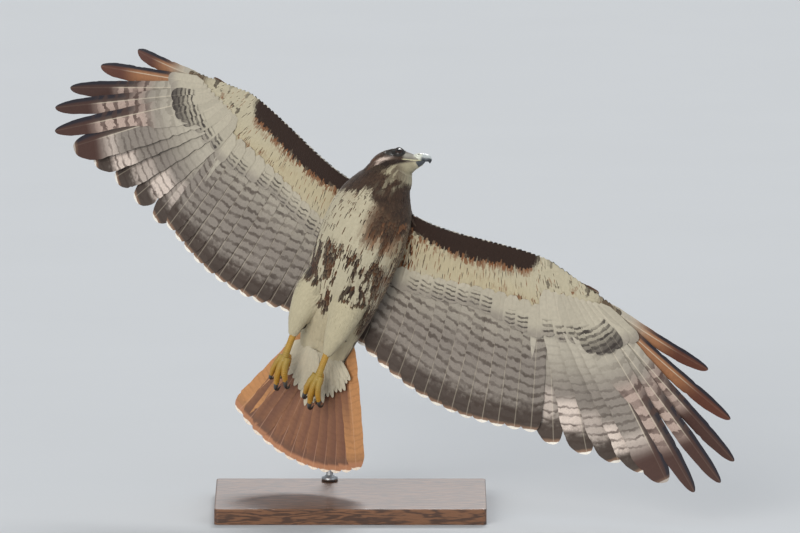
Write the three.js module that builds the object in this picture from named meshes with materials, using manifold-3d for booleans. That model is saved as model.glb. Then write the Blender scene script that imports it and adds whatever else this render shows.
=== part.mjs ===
// A red tailed hawk in soaring flight, life size, on a plain display stand.
// Millimetres, +Z up, origin under the middle of the stand's base. The bird is built in a frame of
// its own, x towards the head, y to its left and z out of its back, and is then turned on the stand.
import * as THREE from 'three';
import { mergeVertices } from 'three/addons/utils/BufferGeometryUtils.js';
import Module from 'manifold-3d';

const wasm = await Module();
wasm.setup();

// Where the bird hangs over the base, and how it is turned there
const birdPlace = new THREE.Vector3(16, -8, 382);
const leanBack = 8; // degrees, the whole pose about X
const turnRight = 20.5; // head end tipped to the right, seen from the belly side
const noseForward = 17.8; // head end brought towards the front
const bank = 27; // left wing brought towards the front
const gap = 0.3; // left between pieces that touch

// Stand
const baseSize = { x: 380, y: 280, z: 22 };
const baseEdge = 6; // radius of the base's upright corners
const rodRadius = 5;
const rodFoot = new THREE.Vector3(-30, 112, baseSize.z + gap);
const rodTop = 352;
const rodBend = 26;
const rodAim = new THREE.Vector3(-62, 0, 22); // in the bird, a point under its back

// Trunk, from the end of the tail coverts to the root of the neck: half width, height, depth
const trunkCentres = [
  [-266, 5, 12], [-232, 4, 10], [-190, 2, 6], [-145, 0, 2], [-98, 0, 0],
  [-48, 0, 0], [2, 0, 0], [48, 1, 0], [82, 2, 0], [102, 3, 1],
];
const trunkSizes = [
  [9, 2, 3], [23, 7, 9], [34, 13, 17], [46, 23, 28], [56, 33, 42],
  [62, 42, 52], [64, 46, 56], [60, 44, 51], [46, 34, 38], [24, 16, 18],
];

// Neck, as broad as its loose feathers, ending inside the head
const neckCentres = [[58, 1, 0], [84, 3, 1], [104, 7, 3], [121, 10, 7]];
const neckSizes = [[47, 37, 44], [41, 34, 38], [35, 30, 33], [26, 24, 25]];

// Head, in its own frame: x towards the bill, y left, z up, origin between the eyes' backs
const headPlace = new THREE.Vector3(120, 4, 8);
const headTurn = 52; // to the bird's left
const headLift = 19;
const headTilt = 45; // crown tipped to the bird's right
const headCentres = [
  [-38, 0, 1], [-32, 0, 0], [-20, 0, -1], [-6, 0, -1],
  [8, 0, -2], [20, 0, -3], [29, 0, -4], [35, 0, -4],
];
const headSizes = [
  [8, 8, 9], [16, 15, 16], [23, 21, 22], [25, 23, 25],
  [22.5, 22, 23], [16, 16, 18], [10.5, 11, 12], [6.5, 8, 7],
];
const eye = { x: 9, y: 12.6, z: 4, radius: 9.2 };

// Bill, hooked over the lower half
const upperBill = [
  [26, 0, -1], [34, 0, 0], [41, 0, -0.5], [46.5, 0, -3], [49.8, 0, -7.5], [50.3, 0, -13.5],
];
const upperBillSizes = [
  [7.5, 8, 6], [7.4, 8, 6], [6, 7.2, 5.4], [4.4, 5.6, 4.6], [2.6, 3.4, 3.2], [0.7, 0.8, 0.8],
];
const lowerBill = [[22, 0, -10], [31, 0, -10.2], [38, 0, -9.8], [44, 0, -9]];
const lowerBillSizes = [[6.6, 2.4, 4], [6, 2.4, 3.6], [4.6, 2, 2.6], [2.4, 1, 1.2]];

// Wing, laid flat: x along the body, s outwards from the middle of the body
const wingHeight = 20; // above the body's middle line
const rootHalfWidth = 40; // inside the body, where the wing doesn't slope yet
const armSlope = 3.7; // degrees of dihedral
const handSlope = 13;
const wristSpan = [175, 295]; // where the slope goes from one to the other
const tipCurl = 4; // more slope at the fingers
const tipSpan = [420, 570];
const wristSpot = 266;
const handEnd = 382;
const armStart = 40;
const camber = { arm: 13, hand: 5 }; // rise of the middle of the chord
const trailingEdge = -158;
const handCut = { from: [80, 268], heading: 19.2 }; // outwards, parts the hand's feathers from the arm's

// Flight feathers: length, and heading in degrees outwards from straight back
const primary = {
  lengths: [240, 253, 268, 286, 304, 328, 331, 313, 260, 184],
  headings: [22.7, 31.9, 39.9, 46, 49.9, 54.1, 59.4, 63.8, 69.9, 78.2],
  lifts: [6, 8, 6, -4, -16, -20, -9, 9, 24, 31], // how far the tip bends up, most on the leading ones
  rootFrom: [72, 271],
  rootTo: [74, 347],
  outer: [17, 17, 17, 16, 15, 12, 10.5, 9.5, 9, 8.5],
  inner: [28, 29, 30, 30, 30, 30, 29, 28, 27, 24],
  fingers: 5, // the outermost ones narrow to a finger
  fingerShare: 0.5,
};
const secondary = {
  count: 13,
  rootFrom: [66, 262],
  rootTo: [26, 46],
  firstTip: 328, // how far out the outermost tip lies
  tipSpacing: 23.6,
  tipX: { ends: -145, middle: -170 },
  outer: 15,
  inner: 21,
};
const rectrix = {
  count: 12,
  root: [-128, 2],
  rootWidth: 26,
  middle: 4.2, // degrees to the left of straight back
  halfFan: 27.2,
  length: 215,
  outerShorter: 12,
  vane: 16.5,
};
const featherThickness = [1.5, 1]; // root and tip
const shingle = 0.03; // each vane's slope across the wing, so that it lies over the next

// Legs, trailing under the tail
const legSide = 30;
const thighCentres = [
  [-58, 26, -22], [-92, 31, -30], [-128, 32, -37], [-154, 31, -38.5], [-162, 31, -38.5],
];
const thighSizes = [[20, 18, 20], [25, 22, 22], [18, 16, 15], [10, 9, 8.5], [6, 6, 5.5]];
const shank = { from: -146, to: -196, height: -38.5, radius: 5 };
const toes = [
  { name: 'inner', side: -1, length: 33, radius: 5, claw: 21 },
  { name: 'middle', side: 0, length: 42, radius: 5.2, claw: 20 },
  { name: 'outer', side: 1, length: 35, radius: 4.4, claw: 16 },
];
const toeFan = 13; // degrees between toes
const hindToe = { length: 18, radius: 4.6, claw: 20 };
const palmRadius = 7;

const finish = {
  brown: { color: 0x4a3626, roughness: 0.85 },
  cream: { color: 0xcfc2a6, roughness: 0.85 },
  rufous: { color: 0xb06a45, roughness: 0.8 },
  flight: { color: 0x8f8577, roughness: 0.8 },
  bill: { color: 0x3a3f47, roughness: 0.35 },
  eye: { color: 0x2a170c, roughness: 0.1 },
  leg: { color: 0xc9a13a, roughness: 0.55 },
  claw: { color: 0x17151a, roughness: 0.35 },
  base: { color: 0x6b4a30, roughness: 0.45 },
  rod: { color: 0x8d9094, roughness: 0.3, metalness: 1 },
};

const degrees = THREE.MathUtils.degToRad;
const { smoothstep, lerp, clamp } = THREE.MathUtils;
const vectors = (list) => list.map((p) => new THREE.Vector3(...p));

// A closed geometry as a solid, with its faces turned out
function solid(geometry) {
  const bare = geometry.clone();
  bare.deleteAttribute('normal');
  bare.deleteAttribute('uv');
  const merged = mergeVertices(bare, 1e-4);
  const vertProperties = merged.attributes.position.array;
  const make = (triVerts) => new wasm.Manifold(new wasm.Mesh({ numProp: 3, vertProperties, triVerts }));
  const corners = new Uint32Array(merged.index.array);
  const made = make(corners);
  return made.volume() > 0 ? made : make(corners.reverse());
}

function geometryOf(body) {
  const mesh = body.getMesh();
  const geometry = new THREE.BufferGeometry();
  geometry.setAttribute('position', new THREE.BufferAttribute(new Float32Array(mesh.vertProperties), 3));
  geometry.setIndex(new THREE.BufferAttribute(new Uint32Array(mesh.triVerts), 1));
  const flat = geometry.toNonIndexed();
  flat.computeVertexNormals();
  return flat;
}

const join = (solids) => solids.reduce((all, one) => all.add(one));
const cut = (body, ...others) => others.reduce((rest, other) => rest.subtract(other), body);

// Moves each vertex of a unit geometry to the place that a function of its uv or position gives
function warp(geometry, place) {
  const { position, uv } = geometry.attributes;
  const p = new THREE.Vector3();
  for (let i = 0; i < position.count; i++) {
    p.fromBufferAttribute(position, i);
    position.setXYZ(i, ...place(p, uv.getX(i), 1 - uv.getY(i)).toArray());
  }
  return solid(geometry);
}

// A rounded form along a line of centres. Each section has a half width, a height and a depth.
function loft(centres, sizes, { around, rings, up = [0, 0, 1], grow = 0, matrix = null }) {
  const line = new THREE.CatmullRomCurve3(vectors(centres), false, 'centripetal');
  const size = new THREE.CatmullRomCurve3(vectors(sizes), false, 'catmullrom', 0.4);
  const upward = new THREE.Vector3(...up);
  return warp(new THREE.SphereGeometry(1, around, rings + 2), (p, u, v) => {
    const ring = clamp(v * (rings + 2) - 1, 0, rings);
    const t = ring / rings;
    const ahead = line.getTangent(t);
    const side = new THREE.Vector3().crossVectors(upward, ahead).normalize();
    const over = new THREE.Vector3().crossVectors(ahead, side);
    const [w, h, d] = size.getPoint(t).toArray();
    const pole = v < 1e-6 || v > 1 - 1e-6;
    const reach = pole ? 0 : 1;
    const angle = u * Math.PI * 2;
    const across = Math.cos(angle);
    const rise = Math.sin(angle);
    const cap = pole ? (v < 0.5 ? -1 : 1) * (0.35 * w + grow) : 0;
    const point = line.getPoint(t).addScaledVector(ahead, cap);
    point.addScaledVector(side, across * (w + grow) * reach);
    point.addScaledVector(over, rise * ((rise > 0 ? h : d) + grow) * reach);
    return matrix ? point.applyMatrix4(matrix) : point;
  });
}

// The wing's surface: where a point of the flat wing lies once the wing has its slope and camber
function slopeAt(s) {
  if (s < rootHalfWidth) return 0;
  const curl = tipCurl * clamp((s - tipSpan[0]) / (tipSpan[1] - tipSpan[0]), 0, 1);
  return degrees(lerp(armSlope, handSlope, smoothstep(s, ...wristSpan)) + curl);
}

const spanStep = 5;
const spanLine = [[0, wingHeight]];
for (let s = 0; s < 700; s += spanStep) {
  const [y, z] = spanLine[spanLine.length - 1];
  const slope = slopeAt(s + spanStep / 2);
  spanLine.push([y + spanStep * Math.cos(slope), z + spanStep * Math.sin(slope)]);
}

const leadingEdge = (s) => 65 + 33 * smoothstep(s, 60, 268) - 42 * clamp((s - 268) / 210, 0, 1);

function camberAt(x, s) {
  const front = leadingEdge(s);
  const share = clamp((front - x) / (front - trailingEdge), 0, 1);
  return 4 * share * (1 - share) * lerp(camber.arm, camber.hand, smoothstep(s, ...wristSpan));
}

function wingSurface(side) {
  return (x, s, h) => {
    const place = clamp(s, 0, 699) / spanStep;
    const i = Math.floor(place);
    const slope = slopeAt(s);
    const [y0, z0] = spanLine[i];
    const [y1, z1] = spanLine[i + 1];
    const rise = h + camberAt(x, s);
    const y = lerp(y0, y1, place - i) - rise * Math.sin(slope);
    const z = lerp(z0, z1, place - i) + rise * Math.cos(slope);
    return new THREE.Vector3(x, side * y, z);
  };
}

// The tail's surface is a shallow arch
const tailSurface = (x, s, h) => new THREE.Vector3(x, s, 11 + h - s * s * 0.0009);

// How wide a vane is along its length, as a share of its full width
function vaneWidth(t, round = 0.8) {
  const base = Math.min(1, 0.4 + t * 3);
  const tip = Math.max(0, (t - round) / (1 - round));
  return base * Math.sqrt(1 - 0.93 * tip * tip);
}

// One flight feather as a thin plate that follows a surface
function feather(shape) {
  const { root, heading, length, outer, inner, surface } = shape;
  const { finger = 1, lift = 0, steps = 5, round = 0.8, tilt = shingle } = shape;
  const angle = degrees(heading);
  const along = [-Math.cos(angle), Math.sin(angle)];
  const forward = [Math.sin(angle), Math.cos(angle)];
  return warp(new THREE.BoxGeometry(1, 1, 1, 1, steps, 1), (p) => {
    const t = 1 - (0.5 - p.y) ** 1.6;
    const narrow = lerp(1, finger, smoothstep(t, 0.35, 0.62));
    const lateral = (p.x > 0 ? outer : -inner * narrow) * vaneWidth(t, round);
    const h = tilt * lateral + lift * t * t + p.z * lerp(...featherThickness, t);
    const x = root[0] + along[0] * length * t + forward[0] * lateral;
    const s = root[1] + along[1] * length * t + forward[1] * lateral;
    return surface(x, s, h);
  });
}

function primaries(side) {
  const plates = primary.lengths.map((length, i) => {
    const share = i / (primary.lengths.length - 1);
    const isFinger = i >= primary.lengths.length - primary.fingers;
    return feather({
      root: [0, 1].map((k) => lerp(primary.rootFrom[k], primary.rootTo[k], share)),
      heading: primary.headings[i],
      length,
      lift: primary.lifts[i],
      outer: primary.outer[i],
      inner: primary.inner[i],
      finger: isFinger ? primary.fingerShare : 1,
      surface: wingSurface(side),
      steps: isFinger ? 5 : 3,
      round: isFinger ? 0.72 : 0.8,
    });
  });
  return join(plates);
}

function secondaries(side) {
  const plates = [];
  for (let i = 0; i < secondary.count; i++) {
    const share = i / (secondary.count - 1);
    const root = [0, 1].map((k) => lerp(secondary.rootFrom[k], secondary.rootTo[k], share));
    const tip = [
      lerp(secondary.tipX.ends, secondary.tipX.middle, Math.sin(Math.PI * share)),
      secondary.firstTip - i * secondary.tipSpacing,
    ];
    const back = root[0] - tip[0];
    const out = tip[1] - root[1];
    plates.push(feather({
      root,
      heading: THREE.MathUtils.radToDeg(Math.atan2(out, back)),
      length: Math.hypot(back, out),
      outer: secondary.outer,
      inner: secondary.inner,
      surface: wingSurface(side),
      steps: 3,
      round: 0.86,
    }));
  }
  return join(plates);
}

function rectrices() {
  const plates = [];
  for (let i = 0; i < rectrix.count; i++) {
    const share = (2 * i) / (rectrix.count - 1) - 1; // -1 on the right, 1 on the left
    plates.push(feather({
      root: [rectrix.root[0], rectrix.root[1] + (share * rectrix.rootWidth) / 2],
      heading: rectrix.middle + share * rectrix.halfFan,
      length: rectrix.length - rectrix.outerShorter * share * share,
      outer: rectrix.vane,
      inner: rectrix.vane,
      surface: tailSurface,
      steps: 3,
      round: 0.86,
      tilt: 0.02,
    }));
  }
  return join(plates);
}

// The fleshy front of a wing with its short feathers, as an aerofoil between two spans
function wingFlesh(side, from, to, rings, grow = 0) {
  const surface = wingSurface(side);
  const rear = (s) => lerp(-34, 14, smoothstep(s, 40, 262)) + 46 * smoothstep(s, 290, 390);
  const fullness = (s) => lerp(27, 15, smoothstep(s, 45, 240)) * lerp(1, 0.42, smoothstep(s, 270, 385));
  return warp(new THREE.SphereGeometry(1, 12, rings + 2), (p, u, v) => {
    const ring = clamp(v * (rings + 2) - 1, 0, rings);
    const s = lerp(from - grow, to + grow, ring / rings);
    const pole = v < 1e-6 || v > 1 - 1e-6;
    const angle = u * Math.PI * 2;
    const share = pole ? 0.4 : (1 - Math.cos(angle)) / 2;
    const front = leadingEdge(s) + grow;
    const x = lerp(front, rear(s) - grow, share);
    const thick = fullness(s) * 1.9 * (Math.sqrt(share) - share) + 2.2 * share;
    const rise = Math.sin(angle);
    const isEdge = pole || Math.abs(rise) < 1e-6;
    return surface(x, s, isEdge ? 0 : Math.sign(rise) * (thick / 2 + grow));
  });
}

function alula(side) {
  const surface = wingSurface(side);
  return join([0, 1, 2].map((i) => feather({
    root: [77 - i * 3, 276 + i * 4],
    heading: 93 - i * 2,
    length: 72 - i * 14,
    outer: 4.5,
    inner: 9,
    surface: (x, s, h) => surface(x, s, h + 6 - i * 0.9),
    steps: 2,
    round: 0.6,
    tilt: 0,
  })));
}

// All that lies outside the cut between arm and hand, as a big box
function outsideOf(side, margin) {
  const box = new THREE.BoxGeometry(600, 600, 600).translate(0, 300 + margin, 0);
  box.rotateZ(-degrees(handCut.heading)).translate(...handCut.from, 0);
  if (side < 0) box.scale(1, -1, 1);
  return solid(box);
}

const headMatrix = new THREE.Matrix4()
  .makeTranslation(headPlace)
  .multiply(new THREE.Matrix4().makeRotationZ(degrees(headTurn)))
  .multiply(new THREE.Matrix4().makeRotationY(-degrees(headLift)))
  .multiply(new THREE.Matrix4().makeRotationX(degrees(headTilt)));

const trunkForm = (grow) => loft(trunkCentres, trunkSizes, { around: 16, rings: 12, grow });
const neckForm = (grow) => loft(neckCentres, neckSizes, { around: 12, rings: 3, grow });
const headForm = (grow) =>
  loft(headCentres, headSizes, { around: 12, rings: 7, grow, matrix: headMatrix });
const eyeForm = (side, grow) => {
  const ball = new THREE.SphereGeometry(eye.radius + grow, 10, 6);
  return solid(ball.translate(eye.x, side * eye.y, eye.z).applyMatrix4(headMatrix));
};
const billForm = (centres, sizes, rings, grow = 0) =>
  loft(centres, sizes, { around: 8, rings, grow, matrix: headMatrix });

const mirrored = (list, side) => list.map(([x, y, z]) => [x, side * y, z]);
const thighForm = (side, grow) =>
  loft(mirrored(thighCentres, side), thighSizes, { around: 12, rings: 5, grow });

function shankForm(side, grow = 0) {
  const r = shank.radius + grow;
  const from = shank.from + grow;
  const to = shank.to - grow;
  const bar = new THREE.CylinderGeometry(r * 0.95, r, from - to, 8, 1).rotateZ(-Math.PI / 2);
  return solid(bar.translate((from + to) / 2, side * legSide, shank.height));
}

// A toe is a bent form of a few joints, and its claw goes on round the same bend, towards the tail
function toeLine(side, toe) {
  const angle = degrees(toe.side * toeFan) * side;
  const { length, claw } = toe;
  const reach = (d, drop) => [
    shank.to + 2 - d * Math.cos(angle),
    side * legSide + toe.side * side * 4.5 + d * Math.sin(angle),
    shank.height + drop,
  ];
  return {
    toe: [reach(0, 0), reach(length * 0.35, -2.5), reach(length * 0.7, -1), reach(length, 4)],
    claw: [
      reach(length - 2, 3), reach(length + claw * 0.4, 7),
      reach(length + claw * 0.55, 14), reach(length + claw * 0.3, 19),
    ],
  };
}

function hindToeLine(side) {
  const y = side * (legSide - 1);
  const z = shank.height;
  const x = shank.to;
  const { length, claw } = hindToe;
  return {
    toe: [
      [x + 4, y, z + 2], [x + 1, y, z + 9], [x - length * 0.5, y, z + 14], [x - length, y, z + 14.5],
    ],
    claw: [
      [x - length + 2, y, z + 14.5], [x - length - claw * 0.4, y, z + 13.5],
      [x - length - claw * 0.65, y, z + 9], [x - length - claw * 0.62, y, z + 5],
    ],
  };
}

const toeShares = [[1, 0.9, 1], [1, 0.85, 0.95], [0.92, 0.8, 0.9], [0.7, 0.7, 0.7]];
const toeSizes = (r) => toeShares.map((shares) => shares.map((share) => share * r));
const clawSizes = (r) => [0.62, 0.46, 0.3, 0.09].map((k) => [r * k, r * k * 1.15, r * k * 1.15]);
const sideways = [0, 1, 0];
const toeForm = (line, r, grow = 0) =>
  loft(line.toe, toeSizes(r), { around: 6, rings: 3, up: sideways, grow });
const clawForm = (line, r, grow = 0) =>
  loft(line.claw, clawSizes(r), { around: 6, rings: 3, up: sideways, grow });

function footForm(side, grow = 0) {
  const palm = new THREE.SphereGeometry(palmRadius + grow, 7, 5).scale(1, 1.15, 0.85);
  const parts = [solid(palm.translate(shank.to - 3, side * legSide, shank.height))];
  for (const toe of toes) parts.push(toeForm(toeLine(side, toe), toe.radius, grow));
  parts.push(toeForm(hindToeLine(side), hindToe.radius, grow));
  return join(parts);
}

// Meshes
const group = new THREE.Group();
const bird = new THREE.Group();
group.add(bird);

function add(parent, name, body, look) {
  const mesh = new THREE.Mesh(geometryOf(body), new THREE.MeshStandardMaterial(finish[look]));
  mesh.name = name;
  parent.add(mesh);
}

const birdMatrix = new THREE.Matrix4()
  .makeTranslation(birdPlace)
  .multiply(new THREE.Matrix4().makeRotationX(-degrees(leanBack)))
  .multiply(new THREE.Matrix4().makeRotationY(degrees(turnRight)))
  .multiply(new THREE.Matrix4().makeRotationX(degrees(noseForward)))
  .multiply(new THREE.Matrix4().makeRotationZ(-degrees(bank)))
  .multiply(new THREE.Matrix4().makeBasis(
    new THREE.Vector3(0, 0, 1),
    new THREE.Vector3(1, 0, 0),
    new THREE.Vector3(0, 1, 0),
  ));
bird.applyMatrix4(birdMatrix);

// Body and head
const trunk = trunkForm(0);
const trunkCutter = trunkForm(gap);
const neckCutter = neckForm(gap);
const headCutter = headForm(gap);
add(bird, 'trunk', trunk, 'cream');
add(bird, 'neck', cut(neckForm(0), trunkCutter, headCutter, eyeForm(1, gap), eyeForm(-1, gap)), 'brown');
add(bird, 'head', cut(headForm(0), trunkCutter, eyeForm(1, gap), eyeForm(-1, gap)), 'brown');
add(bird, 'eye_left', eyeForm(1, 0), 'eye');
add(bird, 'eye_right', eyeForm(-1, 0), 'eye');
const upper = cut(billForm(upperBill, upperBillSizes, 8), headCutter);
const upperCutter = billForm(upperBill, upperBillSizes, 8, gap);
add(bird, 'bill_upper', upper, 'bill');
add(bird, 'bill_lower', cut(billForm(lowerBill, lowerBillSizes, 4), headCutter, upperCutter), 'bill');

// Tail
add(bird, 'tail', cut(rectrices(), trunkCutter), 'rufous');

// Wings
for (const [word, side] of [['left', 1], ['right', -1]]) {
  const armCutter = wingFlesh(side, armStart, wristSpot, 7, 2 * gap);
  const handCutter = wingFlesh(side, wristSpot + gap, handEnd, 5, 2 * gap);
  const name = (part) => `wing_${word}_${part}`;
  add(bird, name('arm'), cut(wingFlesh(side, armStart, wristSpot, 7), trunkCutter, neckCutter), 'cream');
  add(bird, name('hand'), cut(wingFlesh(side, wristSpot + gap, handEnd, 5), armCutter), 'cream');
  add(bird, name('alula'), cut(alula(side), handCutter, armCutter), 'brown');
  const outer = outsideOf(side, gap / 2);
  const inner = outsideOf(side, -gap / 2);
  const handFeathers = cut(primaries(side), handCutter, armCutter).intersect(outer);
  const armFeathers = cut(secondaries(side), armCutter, handCutter, trunkCutter, inner);
  add(bird, name('primaries'), handFeathers, 'flight');
  add(bird, name('secondaries'), armFeathers, 'flight');
}

// Legs
for (const [word, side] of [['left', 1], ['right', -1]]) {
  const thighCutter = thighForm(side, gap);
  add(bird, `thigh_${word}`, cut(thighForm(side, 0), trunkCutter), 'cream');
  add(bird, `shank_${word}`, cut(shankForm(side), thighCutter), 'leg');
  add(bird, `foot_${word}`, cut(footForm(side), shankForm(side, gap), trunkCutter), 'leg');
  const footCutter = footForm(side, gap);
  for (const toe of toes) {
    const claw = clawForm(toeLine(side, toe), toe.radius);
    add(bird, `claw_${word}_${toe.name}`, cut(claw, footCutter), 'claw');
  }
  const hindClaw = clawForm(hindToeLine(side), hindToe.radius);
  add(bird, `claw_${word}_hind`, cut(hindClaw, footCutter, trunkCutter), 'claw');
}

// Stand: a slab and one rod that rises behind the tail and turns in to the back
function slab() {
  const { x, y, z } = baseSize;
  const outline = new THREE.Shape();
  const corners = [[x / 2, y / 2, 0], [-x / 2, y / 2, 90], [-x / 2, -y / 2, 180], [x / 2, -y / 2, 270]];
  for (const [cx, cy, start] of corners) {
    const inX = cx - Math.sign(cx) * baseEdge;
    const inY = cy - Math.sign(cy) * baseEdge;
    outline.absarc(inX, inY, baseEdge, degrees(start), degrees(start + 90), false);
  }
  return solid(new THREE.ExtrudeGeometry(outline, { depth: z, bevelEnabled: false, curveSegments: 3 }));
}

function rod() {
  const end = rodAim.clone().applyMatrix4(birdMatrix);
  const corner = new THREE.Vector3(rodFoot.x, rodFoot.y, rodTop);
  const inward = end.clone().sub(corner).normalize();
  const path = new THREE.CurvePath();
  const turnFrom = corner.clone().add(new THREE.Vector3(0, 0, -rodBend));
  const turnTo = corner.clone().addScaledVector(inward, rodBend);
  path.add(new THREE.LineCurve3(rodFoot, turnFrom));
  path.add(new THREE.QuadraticBezierCurve3(turnFrom, corner, turnTo));
  path.add(new THREE.LineCurve3(turnTo, end));
  const section = new THREE.Shape().absarc(0, 0, rodRadius, 0, Math.PI * 2);
  const tube = new THREE.ExtrudeGeometry(section, { extrudePath: path, steps: 12, curveSegments: 5 });
  const trunkInPlace = solid(geometryOf(trunkCutter).applyMatrix4(birdMatrix));
  return cut(solid(tube), trunkInPlace);
}

add(group, 'stand_base', slab(), 'base');
add(group, 'stand_rod', rod(), 'rod');

export default group;
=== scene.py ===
import math
import bmesh
import bpy
import numpy as np
from mathutils import Matrix, Vector
from mathutils.bvhtree import BVHTree


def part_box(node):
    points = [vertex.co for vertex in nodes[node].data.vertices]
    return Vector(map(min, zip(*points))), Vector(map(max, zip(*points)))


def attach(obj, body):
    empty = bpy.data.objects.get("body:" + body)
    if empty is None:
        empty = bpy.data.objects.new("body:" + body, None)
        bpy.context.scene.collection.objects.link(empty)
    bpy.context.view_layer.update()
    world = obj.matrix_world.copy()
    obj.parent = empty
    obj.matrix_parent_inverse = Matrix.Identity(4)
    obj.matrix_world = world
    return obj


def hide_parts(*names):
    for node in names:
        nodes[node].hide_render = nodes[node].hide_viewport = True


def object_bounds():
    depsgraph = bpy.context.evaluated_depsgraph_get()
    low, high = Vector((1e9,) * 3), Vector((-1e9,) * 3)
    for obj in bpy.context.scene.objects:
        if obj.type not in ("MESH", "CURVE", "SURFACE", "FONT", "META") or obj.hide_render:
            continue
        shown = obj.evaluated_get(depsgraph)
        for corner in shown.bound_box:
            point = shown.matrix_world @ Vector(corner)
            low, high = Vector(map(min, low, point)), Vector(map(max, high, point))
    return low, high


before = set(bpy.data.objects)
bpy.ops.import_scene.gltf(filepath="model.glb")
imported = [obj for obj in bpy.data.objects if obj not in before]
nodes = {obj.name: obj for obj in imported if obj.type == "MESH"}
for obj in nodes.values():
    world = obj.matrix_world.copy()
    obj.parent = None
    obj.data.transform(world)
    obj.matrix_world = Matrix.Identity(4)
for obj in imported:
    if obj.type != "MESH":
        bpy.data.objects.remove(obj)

cadLow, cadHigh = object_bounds()
scene = bpy.context.scene
print("frame loaded")

# The bird is worked out in millimetres in a frame of its own: x to the head, y to its left and
# z out of its back. These turns hang it over the stand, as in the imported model.
mm = 0.001
pose = {
    "place": (16, -8, 382),
    "leanBack": 8,
    "turnRight": 20.5,
    "noseForward": 17.8,
    "bank": 27,
    "headPlace": (120, 4, 8),
    "headTurn": 52,
    "headLift": 19,
    "headTilt": 45,
}


def turned(angle, axis):
    return Matrix.Rotation(math.radians(angle), 4, axis)


basis = Matrix(((0, 1, 0, 0), (0, 0, 1, 0), (1, 0, 0, 0), (0, 0, 0, 1)))
hangMatrix = Matrix.Translation(pose["place"]) @ turned(-pose["leanBack"], "X")
hangMatrix = hangMatrix @ turned(pose["turnRight"], "Y") @ turned(pose["noseForward"], "X")
hangMatrix = hangMatrix @ turned(-pose["bank"], "Z") @ basis
toFrame = Matrix.Scale(mm, 4) @ hangMatrix
headMatrix = Matrix.Translation(pose["headPlace"]) @ turned(pose["headTurn"], "Z")
headMatrix = headMatrix @ turned(-pose["headLift"], "Y") @ turned(pose["headTilt"], "X")
headInverse = headMatrix.inverted()


# Small helpers for arrays
def lerp(a, b, t):
    return a + (b - a) * t


def smooth(v, a, b):
    t = np.clip((np.asarray(v, float) - a) / (b - a), 0, 1)
    return t * t * (3 - 2 * t)


def bump(v, middle, width):
    return np.exp(-(((v - middle) / width) ** 2))


def unit(v):
    return v / np.maximum(np.linalg.norm(v, axis=-1, keepdims=True), 1e-9)


# Soft random patches, 0 to 1, over a plane
def patches(u, v, seed):
    i, j = np.floor(u), np.floor(v)
    f, g = smooth(u - i, 0, 1), smooth(v - j, 0, 1)

    def corner(a, b):
        return (np.sin((i + a) * 127.1 + (j + b) * 311.7 + seed * 17.3) * 43758.5453) % 1

    return lerp(lerp(corner(0, 0), corner(1, 0), f), lerp(corner(0, 1), corner(1, 1), f), g)


def moved(points, matrix):
    m = np.array(matrix)
    return points @ m[:3, :3].T + m[:3, 3]


def turnedOnly(directions, matrix):
    return directions @ np.array(matrix)[:3, :3].T


def tone(code):
    parts = [int(code[k:k + 2], 16) / 255 for k in (1, 3, 5)]
    return np.array([c / 12.92 if c <= 0.04045 else ((c + 0.055) / 1.055) ** 2.4 for c in parts])


def mixed(a, b, t):
    return a + (b - a) * np.asarray(t)[..., None]


def along(points, t, tension=0.5):
    points = np.asarray(points, float)
    last = len(points) - 1
    padded = np.vstack([2 * points[0] - points[1], points, 2 * points[-1] - points[-2]])
    place = np.clip(t, 0, 1) * last
    i = np.minimum(place.astype(int), last - 1)
    f = (place - i)[:, None]
    p0, p1, p2, p3 = (padded[i + k] for k in range(4))
    m1 = tension * (p2 - p0)
    m2 = tension * (p3 - p1)
    ends = (2 * f ** 3 - 3 * f ** 2 + 1) * p1 + (3 * f ** 2 - 2 * f ** 3) * p2
    return ends + (f ** 3 - 2 * f ** 2 + f) * m1 + (f ** 3 - f ** 2) * m2


# A closed tube of rings between two end points, as vertices and faces
def ringFaces(rings, around):
    faces = []
    for r in range(rings - 1):
        for k in range(around):
            a = r * around + k
            b = r * around + (k + 1) % around
            faces.append((a, b, b + around, a + around))
    first = rings * around
    top = (rings - 1) * around
    for k in range(around):
        faces.append((first, (k + 1) % around, k))
        faces.append((first + 1, top + k, top + (k + 1) % around))
    return faces


def loft(centres, sizes, around, rings, up=(0, 0, 1), grow=0.0, matrix=None, cap=0.35, shape=None):
    t = np.linspace(0, 1, rings)
    step = 0.5 / rings
    middle = along(centres, t)
    ahead = unit(along(centres, t + step) - along(centres, t - step))
    side = unit(np.cross(np.array(up, float), ahead))
    over = np.cross(ahead, side)
    size = np.maximum(along(sizes, t, 0.4) + grow, 0.02)
    angle = np.arange(around) * 2 * np.pi / around
    rise = np.sin(angle)[None, :]
    wide = np.cos(angle)[None, :] * size[:, :1]
    tall = rise * np.where(rise > 0, size[:, 1:2], size[:, 2:3])
    if shape:
        wide, tall = shape(t[:, None], angle[None, :], wide, tall)
    points = middle[:, None] + wide[..., None] * side[:, None] + tall[..., None] * over[:, None]
    reach = cap * size[:, 0] + grow
    poles = np.array([middle[0] - ahead[0] * reach[0], middle[-1] + ahead[-1] * reach[-1]])
    points = np.vstack([points.reshape(-1, 3), poles])
    if matrix is not None:
        points = moved(points, matrix)
    return points, ringFaces(rings, around)


def meshOf(name, points, faces, matrix=toFrame):
    mesh = bpy.data.meshes.new(name)
    if matrix is not None:
        points = moved(points, matrix)
    mesh.from_pydata(points.tolist(), [], faces)
    mesh.update()
    return mesh


def joined(parts):
    points = []
    faces = []
    count = 0
    for p, f in parts:
        points.append(p)
        faces += [tuple(i + count for i in face) for face in f]
        count += len(p)
    return np.vstack(points), faces


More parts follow.
